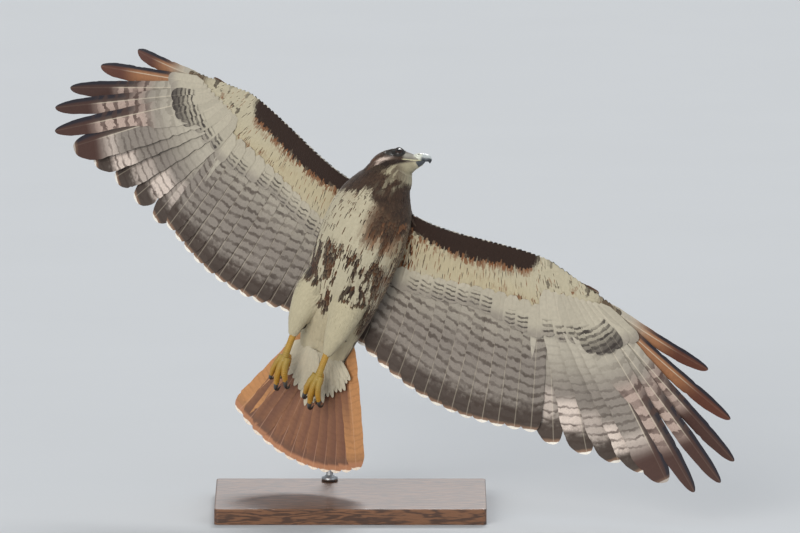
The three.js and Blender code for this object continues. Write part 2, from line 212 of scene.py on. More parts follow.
def tidy(mesh, mergeAt=0.0):
    bm = bmesh.new()
    bm.from_mesh(mesh)
    if mergeAt:
        bmesh.ops.remove_doubles(bm, verts=bm.verts, dist=mergeAt)
    bmesh.ops.recalc_face_normals(bm, faces=bm.faces)
    bm.to_mesh(mesh)
    bm.free()
    mesh.polygons.foreach_set("use_smooth", np.ones(len(mesh.polygons), bool))
    mesh.update()


def place(name, mesh, material=None):
    piece = bpy.data.objects.new(name, mesh)
    scene.collection.objects.link(piece)
    if material:
        mesh.materials.append(material)
    return piece


def baked(piece):
    bpy.context.view_layer.update()
    evaluated = piece.evaluated_get(bpy.context.evaluated_depsgraph_get())
    mesh = bpy.data.meshes.new_from_object(evaluated)
    piece.modifiers.clear()
    old = piece.data
    piece.data = mesh
    bpy.data.meshes.remove(old)
    return mesh


def coordinates(mesh):
    flat = np.zeros(len(mesh.vertices) * 3, np.float32)
    mesh.vertices.foreach_get("co", flat)
    return flat.reshape(-1, 3).astype(float)


def normalsOf(mesh):
    flat = np.zeros(len(mesh.vertices) * 3, np.float32)
    mesh.vertex_normals.foreach_get("vector", flat)
    return flat.reshape(-1, 3).astype(float)


def vectorsOf(mesh, name):
    flat = np.zeros(len(mesh.vertices) * 3, np.float32)
    mesh.attributes[name].data.foreach_get("vector", flat)
    return flat.reshape(-1, 3)


# Thin vanes are lit like the soft surface they make together, not like rods of their own
def shadedLike(mesh, normals, share):
    mesh.polygons.foreach_set("use_smooth", np.ones(len(mesh.polygons), bool))
    own = normalsOf(mesh)
    mesh.normals_split_custom_set_from_vertices(unit(own * (1 - share) + normals * share).tolist())


def setAttribute(mesh, name, kind, values):
    layer = mesh.attributes.new(name, kind, "POINT")
    key = {"FLOAT": "value", "FLOAT_COLOR": "color"}.get(kind, "vector")
    if kind == "FLOAT_COLOR":
        values = np.hstack([values, np.ones((len(values), 1))])
    layer.data.foreach_set(key, np.ascontiguousarray(values, np.float32).ravel())


# The wing laid flat (x along the body, s outwards) and the surface it is bent to
wing = {
    "height": 20,
    "rootHalfWidth": 40,
    "armSlope": 3.7,
    "handSlope": 13,
    "wristSpan": (175, 295),
    "tipCurl": 4,
    "tipSpan": (420, 570),
    "camber": (13, 5),
    "trailingEdge": -158,
    "fleshEnd": 382,
}


def slopeAt(s):
    curl = wing["tipCurl"] * np.clip((s - wing["tipSpan"][0]) / np.ptp(wing["tipSpan"]), 0, 1)
    slope = lerp(wing["armSlope"], wing["handSlope"], smooth(s, *wing["wristSpan"])) + curl
    return np.radians(np.where(s < wing["rootHalfWidth"], 0, slope))


spanStep = 5
spanPlaces = np.arange(0, 701, spanStep)
spanSlopes = slopeAt(spanPlaces[:-1] + spanStep / 2)
spanY = np.concatenate([[0], np.cumsum(spanStep * np.cos(spanSlopes))])
spanZ = wing["height"] + np.concatenate([[0], np.cumsum(spanStep * np.sin(spanSlopes))])


def leadingEdge(s):
    return 65 + 33 * smooth(s, 60, 268) - 42 * np.clip((s - 268) / 210, 0, 1)


def fleshRear(s):
    return lerp(-34, 14, smooth(s, 40, 262)) + 46 * smooth(s, 290, 390)


def fleshDepth(s):
    return lerp(27, 15, smooth(s, 45, 240)) * lerp(1, 0.42, smooth(s, 270, 385))


def wingPoint(side, x, s, h):
    x, s, h = np.broadcast_arrays(np.asarray(x, float), s, h)
    front = leadingEdge(s)
    share = np.clip((front - x) / (front - wing["trailingEdge"]), 0, 1)
    rise = h + 4 * share * (1 - share) * lerp(*wing["camber"], smooth(s, *wing["wristSpan"]))
    slope = slopeAt(s)
    y = np.interp(s, spanPlaces, spanY) - rise * np.sin(slope)
    z = np.interp(s, spanPlaces, spanZ) + rise * np.cos(slope)
    return np.stack([x, side * y, z], axis=-1)


def tailPoint(side, x, s, h):
    x, s, h = np.broadcast_arrays(np.asarray(x, float), s, h)
    return np.stack([x, s, 11 + h - s * s * 0.0009], axis=-1)


def wingFlesh(side, start, end, rings, around, inset):
    s = np.linspace(start, end, rings)[:, None]
    angle = (np.arange(around) * 2 * np.pi / around)[None, :]
    share = (1 - np.cos(angle)) / 2
    x = lerp(leadingEdge(s) - inset, fleshRear(s) + inset, share)
    thick = fleshDepth(s) * 1.9 * (np.sqrt(share) - share) + 2.2 * share
    h = np.sign(np.sin(angle)) * np.maximum(thick / 2 - inset * 0.7, 0.9) * np.abs(np.sin(angle)) ** 0.3
    points = wingPoint(side, x, s, h).reshape(-1, 3)
    poles = [wingPoint(side, lerp(leadingEdge(e), fleshRear(e), 0.4), e + k, 0.0)
             for e, k in ((start, -1), (end, 1))]
    return np.vstack([points, poles]), ringFaces(rings, around)


# Body forms, the same as the solids but finer. Sizes are half width, height and depth.
body = {
    "trunk": [(-252, 4.6, 11.2), (-232, 4, 10), (-190, 2, 6), (-145, 0, 2), (-98, 0, 0),
              (-48, 0, 0), (2, 0, 0), (48, 1, 0), (82, 2, 0), (102, 3, 1)],
    "trunkSizes": [(12, 3.4, 4.6), (22, 7, 9), (34, 13, 17), (46, 23, 28), (56, 33, 42),
                   (62, 42, 52), (64, 46, 56), (60, 44, 51), (46, 34, 38), (24, 16, 18)],
    "neck": [(58, 1, 0), (84, 3, 1), (104, 7, 3), (121, 10, 7)],
    "neckSizes": [(47, 37, 44), (41, 34, 38), (35, 30, 33), (26, 24, 25)],
    "head": [(-38, 0, 1), (-32, 0, 0), (-20, 0, -1), (-6, 0, -1),
             (8, 0, -2), (20, 0, -3), (29, 0, -4), (35, 0, -4)],
    "headSizes": [(8, 8, 9), (16, 15, 16), (23, 21, 22), (25, 23, 25),
                  (22.5, 22, 23), (16, 16, 18), (10.5, 11, 12), (6.5, 8, 7)],
    "thigh": [(-58, 26, -22), (-92, 31, -30), (-128, 32, -37), (-154, 31, -38.5), (-162, 31, -38.5)],
    "thighSizes": [(20, 18, 20), (25, 22, 22), (18, 16, 15), (10, 9, 8.5), (6, 6, 5.5)],
}
coatDepth = {"trunk": 3.2, "neck": 3.2, "head": 1.5, "thigh": 2.8, "wing": 1.6}
eyeSize = {"x": 9, "y": 12.6, "z": 4, "radius": 9.2}


def mirrored(points, side):
    return [(x, side * y, z) for x, y, z in points]


# Skin: all the fleshy forms in one surface, then the lids and brow
skinSizes = {
    "voxel": 1.7,
    "keep": 0.42,  # share of the faces left after the remesh
    "lidOpening": 43,  # degrees from the eye's axis
    "lidWidth": 20,
    "lidThickness": 0.55,
    "brow": 2.4,
}


def eyeAxis(side):
    return unit(np.array([0.28, side, 0.1]))


def lidded(points):
    for side in (1, -1):
        centre = np.array([eyeSize["x"], side * eyeSize["y"], eyeSize["z"]])
        away = points - centre
        far = np.linalg.norm(away, axis=1)
        facing = unit(away)
        angle = np.degrees(np.arccos(np.clip(facing @ eyeAxis(side), -1, 1)))
        angle = angle * (1 + 0.352 * facing[:, 2] ** 2)  # the opening is a little wider than high
        opening = skinSizes["lidOpening"]
        lid = eyeSize["radius"] + skinSizes["lidThickness"]
        rim = smooth(angle, opening, opening + 3)
        outward = smooth(angle, opening + skinSizes["lidWidth"], opening + 44)
        wanted = lerp(eyeSize["radius"] - 0.9, lid, rim)
        groove = 0.35 * bump(angle, opening + 15, 3)  # the crease round the lids
        wanted = lerp(wanted - groove, far, outward)
        near = (far < eyeSize["radius"] * 2.2) & (angle < opening + 44)
        points[near] = centre + facing[near] * wanted[near, None]
        ridge = skinSizes["brow"] * bump(points[:, 0], 10, 11) * bump(points[:, 2], 14.5, 3.6)
        ridge = ridge * (side * points[:, 1] > 6)
        points += ridge[:, None] * np.array([0.25, side * 0.8, 0.35])
    return points


def makeSkin():
    depth = coatDepth
    parts = [
        loft(body["trunk"], body["trunkSizes"], 64, 90, grow=-depth["trunk"] * 0.8),
        loft(body["neck"], body["neckSizes"], 56, 24, grow=-depth["neck"]),
        loft(body["head"], body["headSizes"], 56, 48, grow=-depth["head"], matrix=headMatrix),
    ]
    for side in (1, -1):
        line = mirrored(body["thigh"], side)
        parts.append(loft(line, body["thighSizes"], 32, 30, grow=-depth["thigh"]))
        start, end = wing["rootHalfWidth"] - 8, wing["fleshEnd"] - 3
        parts.append(wingFlesh(side, start, end, 150, 44, depth["wing"]))
    mesh = bpy.data.meshes.new("skin")
    points, faces = joined(parts)
    mesh.from_pydata(points.tolist(), [], faces)
    tidy(mesh)
    skin = place("skin", mesh)
    remesh = skin.modifiers.new("remesh", "REMESH")
    remesh.mode = "VOXEL"
    remesh.voxel_size = skinSizes["voxel"]
    calm = skin.modifiers.new("calm", "SMOOTH")
    calm.factor = 0.5
    calm.iterations = 3
    fewer = skin.modifiers.new("fewer", "DECIMATE")
    fewer.ratio = skinSizes["keep"]
    mesh = baked(skin)
    refineHead(mesh)
    return skin


def refineHead(mesh):
    bm = bmesh.new()
    bm.from_mesh(mesh)
    for _ in range(2):
        places = moved(np.array([v.co for v in bm.verts]), headInverse)
        inside = (np.linalg.norm(places - np.array([10, 0, 0]), axis=1) < 33) & (places[:, 0] > -12)
        bm.verts.index_update()
        edges = [e for e in bm.edges if inside[e.verts[0].index] and inside[e.verts[1].index]]
        bmesh.ops.subdivide_edges(bm, edges=edges, cuts=1)
        bmesh.ops.triangulate(bm, faces=[f for f in bm.faces if len(f.verts) > 4])
    places = moved(np.array([v.co for v in bm.verts]), headInverse)
    inside = np.linalg.norm(places - np.array([10, 0, 0]), axis=1) < 31
    bm.verts.index_update()
    near = [v for v in bm.verts if inside[v.index]]
    for _ in range(3):
        bmesh.ops.smooth_vert(bm, verts=near, factor=0.5,
                              use_axis_x=True, use_axis_y=True, use_axis_z=True)
    places = moved(np.array([v.co for v in bm.verts]), headInverse)
    chosen = np.linalg.norm(places - np.array([10, 0, 2]), axis=1) < 33
    places[chosen] = lidded(places[chosen])
    for v, p in zip(bm.verts, moved(places, headMatrix)):
        v.co = p
    bmesh.ops.recalc_face_normals(bm, faces=bm.faces)
    bm.to_mesh(mesh)
    bm.free()
    mesh.polygons.foreach_set("use_smooth", np.ones(len(mesh.polygons), bool))
    mesh.update()


skin = makeSkin()
skinMesh = skin.data
skinPoints = coordinates(skinMesh)
skinNormals = normalsOf(skinMesh)
skinTree = BVHTree.FromPolygons(skinPoints.tolist(), [tuple(p.vertices) for p in skinMesh.polygons])
print("skin:", len(skinMesh.polygons), "faces")


# Eyes, bill and claws, each a smooth form of its own
def eyeball(side):
    around, rings = 48, 40
    angle = np.linspace(0, np.pi, rings + 2)[1:-1]
    turn = np.arange(around) * 2 * np.pi / around
    cornea = 0.35 * np.exp(-((np.degrees(angle) / 26) ** 2))
    radius = (eyeSize["radius"] + cornea)[:, None]
    ring = radius * np.sin(angle)[:, None]
    depth = radius * np.cos(angle)[:, None] + 0 * turn
    flat = np.stack([ring * np.cos(turn), ring * np.sin(turn), depth], -1)
    poles = [(0, 0, eyeSize["radius"] + 0.35), (0, 0, -eyeSize["radius"])]
    points = np.vstack([flat.reshape(-1, 3), poles])
    axis = eyeAxis(side)
    first = unit(np.cross(axis, (0, 0, 1)))
    second = np.cross(axis, first)
    centre = np.array([eyeSize["x"], side * eyeSize["y"], eyeSize["z"]])
    points = points @ np.array([first, second, axis]) + centre
    mesh = meshOf("eye", moved(points, headMatrix), ringFaces(rings, around))
    fromAxis = np.degrees(np.concatenate([np.repeat(angle, around), [0, np.pi]]))
    setAttribute(mesh, "fromAxis", "FLOAT", fromAxis)
    tidy(mesh)
    return mesh


bill = {
    "upper": [(26, 0, -1), (34, 0, 0), (41, 0, -0.5), (46.5, 0, -3), (49.8, 0, -7.5), (50.3, 0, -13.5)],
    "upperSizes": [(7.5, 8, 6), (7.4, 8, 6), (6, 7.2, 5.4), (4.4, 5.6, 4.6), (2.6, 3.4, 3.2),
                   (0.5, 0.6, 0.6)],
    "lower": [(22, 0, -10), (31, 0, -10), (37, 0, -9.4), (42, 0, -8.6)],
    "lowerSizes": [(6.2, 2.4, 2.8), (5.4, 2.4, 2.2), (4, 2, 1.6), (1.8, 0.9, 0.8)],
    "cereEnd": 37.5,
    "nostril": (35.5, 6.6, 2.2),
    # dark nostril holes: painted shade inside them
    "paintedNostrilShade": tone("#15110f"),
    "gape": [(38, 4.6, -8.4), (31, 7.2, -8.6), (24, 10.4, -8.8), (17, 14.6, -9.2), (11, 17.2, -9.8)],
    "gapeSizes": [(0.6, 0.5, 0.5), (0.9, 0.7, 0.7), (1.0, 0.85, 0.85), (0.9, 0.7, 0.7), (0.4, 0.3, 0.3)],
    "cere": tone("#d8dacb"),
    "gapeTone": tone("#d3cca6"),
    "slate": tone("#4d5257"),
    # pale top of the bill: painted highlight where light from above falls
    "hornWithPaintedHighlight": tone("#b9bfbe"),
    "tip": tone("#181c22"),
}


def upperBill():
    def ridged(t, angle, wide, tall):
        cere = bump(t, 0.2, 0.12)
        groove = bump(t, 0.42, 0.03)
        wide = wide * (1 + 0.05 * cere - 0.05 * groove)
        tall = tall * (1 + 0.05 * cere - 0.03 * groove)
        edge = (np.sin(angle) < -0.3) * bump(t, 0.62, 0.09)
        return wide, tall * (1 + 0.1 * edge)

    points, faces = loft(bill["upper"], bill["upperSizes"], 40, 80, cap=0.5, shape=ridged)
    x, z = points[:, 0], points[:, 2]
    pastCere = smooth(x - 0.6 * np.minimum(z, 0), bill["cereEnd"] + 1, bill["cereEnd"] + 6)
    # Painted highlight: the top of the bill is pale where light from above falls, with the bill's slate
    # below.
    hornWithPaintedHighlight = mixed(bill["hornWithPaintedHighlight"], bill["slate"], smooth(-z - 0.35 * (x - 38), 0.5, 3.5))
    tints = mixed(bill["cere"], hornWithPaintedHighlight, pastCere)
    tints = mixed(tints, bill["tip"], smooth(-z, 6, 10.5) * smooth(x, 45, 47))
    for side in (1, -1):
        hole = np.array(bill["nostril"]) * (1, side, 1)
        near = np.exp(-((np.linalg.norm((points - hole) * (0.8, 1, 1.2), axis=1) / 1.35) ** 2))
        points[:, 1] -= side * near * 2.4
        # Painted shade: each nostril is darkened like the shadow inside its hole.
        tints = mixed(tints, bill["paintedNostrilShade"], np.clip(near * 1.3, 0, 1))
    mesh = meshOf("upper", moved(points, headMatrix), faces)
    setAttribute(mesh, "ground", "FLOAT_COLOR", tints)
    tidy(mesh)
    return mesh


def lowerBill():
    parts = [loft(bill["lower"], bill["lowerSizes"], 32, 48, cap=0.5)]
    tints = [mixed(bill["gapeTone"] * 0.8, bill["slate"] * 0.7, smooth(parts[0][0][:, 0], 27, 33))]
    for side in (1, -1):
        part = loft(mirrored(bill["gape"], side), bill["gapeSizes"], 12, 36, cap=0.6)
        parts.append(part)
        tints.append(np.tile(bill["gapeTone"], (len(part[0]), 1)))
    points, faces = joined(parts)
    mesh = meshOf("lower", moved(points, headMatrix), faces)
    setAttribute(mesh, "ground", "FLOAT_COLOR", np.vstack(tints))
    tidy(mesh)
    return mesh


# Legs: bare shank and toes with a row of scutes along the front, and hooked claws
leg = {
    "side": 30,
    "shank": (-138, -198),
    "height": -38.5,
    "radius": 5,
    "scute": 3.1,
    "fan": 13,
    "yellow": tone("#b38122"),
    "olive": tone("#8d8a4c"),
    "pale": tone("#bf9f50"),
}
toes = [
    {"name": "inner", "side": -1, "length": 33, "radius": 5, "claw": 21},
    {"name": "middle", "side": 0, "length": 42, "radius": 5.2, "claw": 20},
    {"name": "outer", "side": 1, "length": 35, "radius": 4.4, "claw": 16},
]
hindToe = {"name": "hind", "length": 18, "radius": 4.6, "claw": 20}
toeShares = np.array([(1, 0.9, 1), (1, 0.85, 0.95), (0.92, 0.8, 0.9), (0.7, 0.7, 0.7)])
clawShares = np.array([0.62, 0.48, 0.32, 0.06])
clawTones = {"root": tone("#4c4a48"), "tip": tone("#121216")}


def toeLine(side, toe):
    angle = math.radians(toe["side"] * leg["fan"]) * side
    length, claw = toe["length"], toe["claw"]

    def reach(d, drop):
        start = leg["shank"][1] + 4
        y = side * leg["side"] + toe["side"] * side * 4.5 + d * math.sin(angle)
        return (start - d * math.cos(angle), y, leg["height"] + drop)

    line = [reach(0, 0), reach(length * 0.35, -2.5), reach(length * 0.7, -1), reach(length, 4)]
    hook = [reach(length - 2, 3), reach(length + claw * 0.4, 7),
            reach(length + claw * 0.55, 14), reach(length + claw * 0.3, 19)]
    return line, hook


def hindLine(side):
    y, z, x = side * (leg["side"] - 1), leg["height"], leg["shank"][1] + 2
    length, claw = hindToe["length"], hindToe["claw"]
    line = [(x + 4, y, z + 2), (x + 1, y, z + 9),
            (x - length * 0.5, y, z + 14), (x - length, y, z + 14.5)]
    hook = [(x - length + 2, y, z + 14.5), (x - length - claw * 0.4, y, z + 13.5),
            (x - length - claw * 0.65, y, z + 9), (x - length - claw * 0.62, y, z + 5)]
    return line, hook


def scuted(count, depth, pads):
    def shape(t, angle, wide, tall):
        step = (t * count) % 1
        scale = depth * (0.5 - step) * smooth(step, 0, 0.12)
        back = np.sin(angle) < -0.2
        grain = 0.02 * np.sin(angle * 9 + t * count * 4)
        pad = pads * (0.5 + 0.5 * np.cos(t * 3 * 2 * np.pi)) * np.maximum(-np.sin(angle), 0)
        grow = 1 + np.where(back, grain, scale) + pad
        return wide * grow, tall * grow
    return shape


def scaledLeg(side):
    r = leg["radius"]
    ends = leg["shank"]
    line = [(lerp(*ends, k), side * leg["side"], leg["height"]) for k in (0, 0.33, 0.67, 1)]
    sizes = [(r * k, r * k, r * k) for k in (1.02, 0.95, 0.92, 1.08)]
    count = (ends[0] - ends[1]) / leg["scute"]
    parts = [loft(line, sizes, 30, 130, up=(0, 0, -1), cap=0.3, shape=scuted(count, 0.13, 0))]
    palm = [(-194, side * leg["side"], leg["height"]), (-199, side * leg["side"], leg["height"] - 0.3),
            (-205, side * leg["side"], leg["height"] - 0.2)]
    parts.append(loft(palm, [(5, 4, 4), (8, 5.6, 5.8), (5.5, 4, 4.4)], 24, 24, cap=0.5))
    for toe in toes:
        shape = scuted(toe["length"] / 2.7, 0.14, 0.1)
        shares = toeShares * toe["radius"]
        parts.append(loft(toeLine(side, toe)[0], shares, 22, 90, up=(0, 1, 0), shape=shape))
    shape = scuted(hindToe["length"] / 2.6, 0.14, 0.1)
    shares = toeShares * hindToe["radius"]
    parts.append(loft(hindLine(side)[0], shares, 22, 60, up=(0, 1, 0), shape=shape))
    points, faces = joined(parts)
    mesh = meshOf("leg", points, faces)
    top = smooth(points[:, 0], -206, -150)
    knuckles = bump(points[:, 0], -196, 22) * (points[:, 2] < leg["height"] + 1)
    tints = mixed(leg["yellow"], leg["olive"], 0.5 * knuckles)
    tints = mixed(tints, leg["pale"], 0.35 * top)
    setAttribute(mesh, "ground", "FLOAT_COLOR", tints)
    tidy(mesh)
    return mesh


def hookMesh(line, radius):
    sizes = np.stack([clawShares * radius, clawShares * radius * 1.2, clawShares * radius * 1.2], 1)
    points, faces = loft(line, sizes, 20, 48, up=(0, 1, 0), cap=0.8)
    mesh = meshOf("hook", points, faces)
    t = np.concatenate([np.repeat(np.linspace(0, 1, 48), 20), [0, 1]])
    tints = mixed(clawTones["root"], clawTones["tip"], smooth(t, 0, 0.4))
    setAttribute(mesh, "ground", "FLOAT_COLOR", tints)
    tidy(mesh)
    return mesh


# Flight feathers: thin closed vanes with a raised shaft, each along its own line on the bent wing
primary = {
    "lengths": [240, 253, 268, 286, 304, 328, 331, 313, 260, 184],
    "headings": [22.7, 31.9, 39.9, 46, 49.9, 54.1, 59.4, 63.8, 69.9, 78.2],
    "lifts": [6, 8, 6, -4, -16, -20, -9, 9, 24, 31],
    "rootFrom": (72, 271),
    "rootTo": (74, 347),
    "outer": [17, 17, 17, 16, 15, 12, 10.5, 9.5, 9, 8.5],
    "inner": [28, 29, 30, 30, 30, 30, 29, 28, 27, 24],
    "fingers": 5,
    "fingerShare": 0.5,
}
secondary = {
    "count": 13,
    "rootFrom": (66, 262),
    "rootTo": (26, 46),
    "firstTip": 328,
    "tipSpacing": 23.6,
    "tipX": (-145, -170),
    "outer": 15,
    "inner": 21,
}
rectrix = {
    "count": 12,
    "root": (-128, 2),
    "rootWidth": 26,
    "middle": 4.2,
    "halfFan": 27.2,
    "length": 215,
    "outerShorter": 12,
    "vane": 16.5,
}
vaneSizes = {
    "rows": 46,
    "thickness": 0.34,  # half, near the shaft
    "edge": 0.09,
    "shaft": 1.25,  # half width at the root
    "tilt": 0.032,
    "ragged": 0.022,
}
vaneAcross = np.array([-1, -0.82, -0.6, -0.38, -0.18, -0.055, 0, 0.055, 0.18, 0.38, 0.6, 0.82, 1])


def vaneWidth(t, round):
    base = np.minimum(1, 0.4 + t * 3)
    tip = np.clip((t - round) / (1 - round), 0, 1)
    return base * np.sqrt(np.maximum(1 - tip ** 2.2, 0.002))


def flightFeather(spec, luck):
    rows = spec.get("rows", vaneSizes["rows"])
    t = (1 - (1 - np.linspace(0, 1, rows)) ** 1.5)[:, None]
    u = vaneAcross[None, :]
    angle = math.radians(spec["heading"])
    narrow = lerp(1, spec.get("finger", 1), smooth(t, 0.35, 0.62))
    wave = sum(np.sin(t * k * 41 + luck * 50 * k + (u > 0)) / k for k in (1, 2.3, 4.1))
    wave = wave * vaneSizes["ragged"]
    nicks = sum(0.1 * bump(t, 0.25 + 0.7 * ((luck * (7 + k)) % 1), 0.006) for k in range(3))
    edge = 1 + (wave - nicks) * np.abs(u) ** 3 * (t < 0.985)
    width = vaneWidth(t, spec["round"]) * edge
    lateral = np.where(u > 0, u * spec["outer"], u * spec["inner"] * narrow) * width
    back = t - 0.012 * np.abs(u) ** 1.5 * smooth(t, 0.1, 0.4) * (1 - smooth(t, 0.8, 1))
    length = spec["length"]
    x = spec["root"][0] - math.cos(angle) * length * back + math.sin(angle) * lateral
    s = spec["root"][1] + math.sin(angle) * length * back + math.cos(angle) * lateral
    cup = -0.0016 * lateral ** 2 * spec.get("cup", 1)
    level = spec.get("tilt", vaneSizes["tilt"]) * lateral + spec.get("lift", 0) * t ** 2 + cup
    level = level + spec.get("height", 0) + spec.get("rise", 0) * t
    level = level + (luck - 0.5) * 0.5 * smooth(t, 0.2, 1)
    shaft = np.exp(-((lateral / (vaneSizes["shaft"] * (1.05 - 0.8 * t))) ** 2)) * (1.02 - t) * 1.1
    thick = lerp(vaneSizes["thickness"], vaneSizes["edge"], np.abs(u) ** 1.5) * lerp(1, 0.6, t)
    above = spec["surface"](spec["side"], x, s, level + thick + 0.35 * shaft)
    below = spec["surface"](spec["side"], x, s, level - thick - shaft)
    slopes = [np.cross(np.gradient(face, axis=0), np.gradient(face, axis=1)) for face in (above, below)]
    slopes[0] *= np.sign(np.sum(slopes[0] * (above - below), -1, keepdims=True))
    slopes[1] *= np.sign(np.sum(slopes[1] * (below - above), -1, keepdims=True))
    count = rows * len(vaneAcross)
    points = np.vstack([above.reshape(-1, 3), below.reshape(-1, 3)])
    wide = len(vaneAcross)
    faces = []
    for r in range(rows - 1):
        for k in range(wide - 1):
            a = r * wide + k
            faces.append((a, a + 1, a + wide + 1, a + wide))
            faces.append((count + a, count + a + wide, count + a + wide + 1, count + a + 1))
        for a, b in ((r * wide, 0), (r * wide + wide - 1, 1)):
            quad = (a, a + wide, count + a + wide, count + a)
            faces.append(quad if b == 0 else quad[::-1])
    for start, flip in ((0, False), ((rows - 1) * wide, True)):
        for k in range(wide - 1):
            a = start + k
            quad = (a, count + a, count + a + 1, a + 1)
            faces.append(quad[::-1] if flip else quad)
    full = t + 0 * u
    grid = {
        "u": np.tile((u + 0 * t).ravel(), 2),
        "lateral": np.tile(lateral.ravel(), 2),
        "fromRoot": np.tile((full * length).ravel(), 2),
        "toTip": np.tile(((1 - full) * length).ravel(), 2),
        "above": np.repeat([1.0, 0.0], count),
        "luck": np.full(2 * count, luck),
        "normal": np.vstack([unit(slope).reshape(-1, 3) for slope in slopes]),
    }
    return points, faces, grid


def primarySpecs(side):
    specs = []
    last = len(primary["lengths"]) - 1
    for i, length in enumerate(primary["lengths"]):
        finger = i > last - primary["fingers"]
        specs.append({
            "kind": "primary", "index": i, "side": side, "surface": wingPoint,
            "root": [lerp(a, b, i / last) for a, b in zip(primary["rootFrom"], primary["rootTo"])],
            "heading": primary["headings"][i], "length": length, "lift": primary["lifts"][i],
            "outer": primary["outer"][i], "inner": primary["inner"][i],
            "finger": primary["fingerShare"] if finger else 1, "round": 0.74 if finger else 0.82,
        })
    return specs


def secondarySpecs(side):
    specs = []
    last = secondary["count"] - 1
    for i in range(secondary["count"]):
        share = i / last
        root = [lerp(a, b, share) for a, b in zip(secondary["rootFrom"], secondary["rootTo"])]
        tip = (lerp(*secondary["tipX"], math.sin(math.pi * share)),
               secondary["firstTip"] - i * secondary["tipSpacing"])
        back, out = root[0] - tip[0], tip[1] - root[1]
        specs.append({
            "kind": "secondary", "index": i, "side": side, "surface": wingPoint, "root": root,
            "heading": math.degrees(math.atan2(out, back)), "length": math.hypot(back, out),
            "outer": secondary["outer"], "inner": secondary["inner"], "round": 0.88,
        })
    return specs


def rectrixSpecs():
    specs = []
    for i in range(rectrix["count"]):
        share = 2 * i / (rectrix["count"] - 1) - 1
        specs.append({
            "kind": "rectrix", "index": i, "side": 1, "surface": tailPoint, "share": share,
            "root": (rectrix["root"][0], rectrix["root"][1] + share * rectrix["rootWidth"] / 2),
            "heading": rectrix["middle"] + share * rectrix["halfFan"],
            "length": rectrix["length"] - rectrix["outerShorter"] * share * share,
            "outer": rectrix["vane"], "inner": rectrix["vane"], "round": 0.88, "tilt": 0.02,
            "height": -2.1 * abs(share),
        })
    return specs


def alulaSpecs(side):
    return [{
        "kind": "alula", "index": i, "side": side, "surface": wingPoint,
        "root": (77 - 3 * i, 276 + 4 * i), "heading": 93 - 2 * i, "length": 72 - 14 * i,
        "outer": 4.5, "inner": 9, "round": 0.7, "tilt": 0.0, "height": 6 - 0.9 * i, "cup": 0,
    } for i in range(3)]


# Plumage colours, with the white of the painted rim light on the wings' front edges. Each painter gives
# a ground colour, an ink colour and marks: streak, bars, fringe.
plumage = {
    "cream": tone("#bdb49b"),
    "warmCream": tone("#bcab84"),
    "paintedRimLight": tone("#efe9dc"),
    "brown": tone("#54402f"),
    "darkBrown": tone("#33241a"),
    "headBrown": tone("#4b372a"),
    "rufous": tone("#95532d"),
    "deepRufous": tone("#764522"),
    "pink": tone("#e3cfc1"),
    "throat": tone("#b0a78c"),
    "malar": tone("#241914"),
    "lore": tone("#aeaa9d"),
    "lid": tone("#211d19"),
    "streak": tone("#2d1d15"),
    "thigh": tone("#beb497"),
    "tailCovert": tone("#c6bea8"),
    "patagial": tone("#2f1f17"),
    "wingBrown": tone("#5b4536"),
}


flightTones = {
    "ground": tone("#8b8279"),
    "ink": tone("#4d423a"),
    "paleBase": tone("#b6ae9e"),
    # painted light: the bright inner vanes of the inner primaries, lit through from behind
    "paintedBacklight": tone("#dfcfc3"),
    "pinkWeb": tone("#b9a397"),
    "webInk": tone("#4a352e"),
    "finger": tone("#472d25"),
    "redTip": tone("#5c3324"),
    "edge": tone("#1e1a24"),
    "centre": tone("#a0693f"),
    "outerVane": tone("#54453d"),
    "tail": tone("#7a5341"),
    "tailOuter": tone("#cf9560"),
    "tailInk": tone("#6f4631"),
    "bar": tone("#332b27"),
    "comma": tone("#4b443f"),
}


# Where the body's markings start and where they are full, in mm ahead of the trunk's middle
bodyPlan = {
    "hood": (84, 91),
    "chin": (86, 104),
    "shoulder": (24, 50),
    "rusty": (8, 44),
    "bandRear": (-108, -94),
    "bandFront": (-2, 18),
    "warmBehind": (40, 120),  # this and the next in mm behind it
    "ventBehind": (140, 185),
}


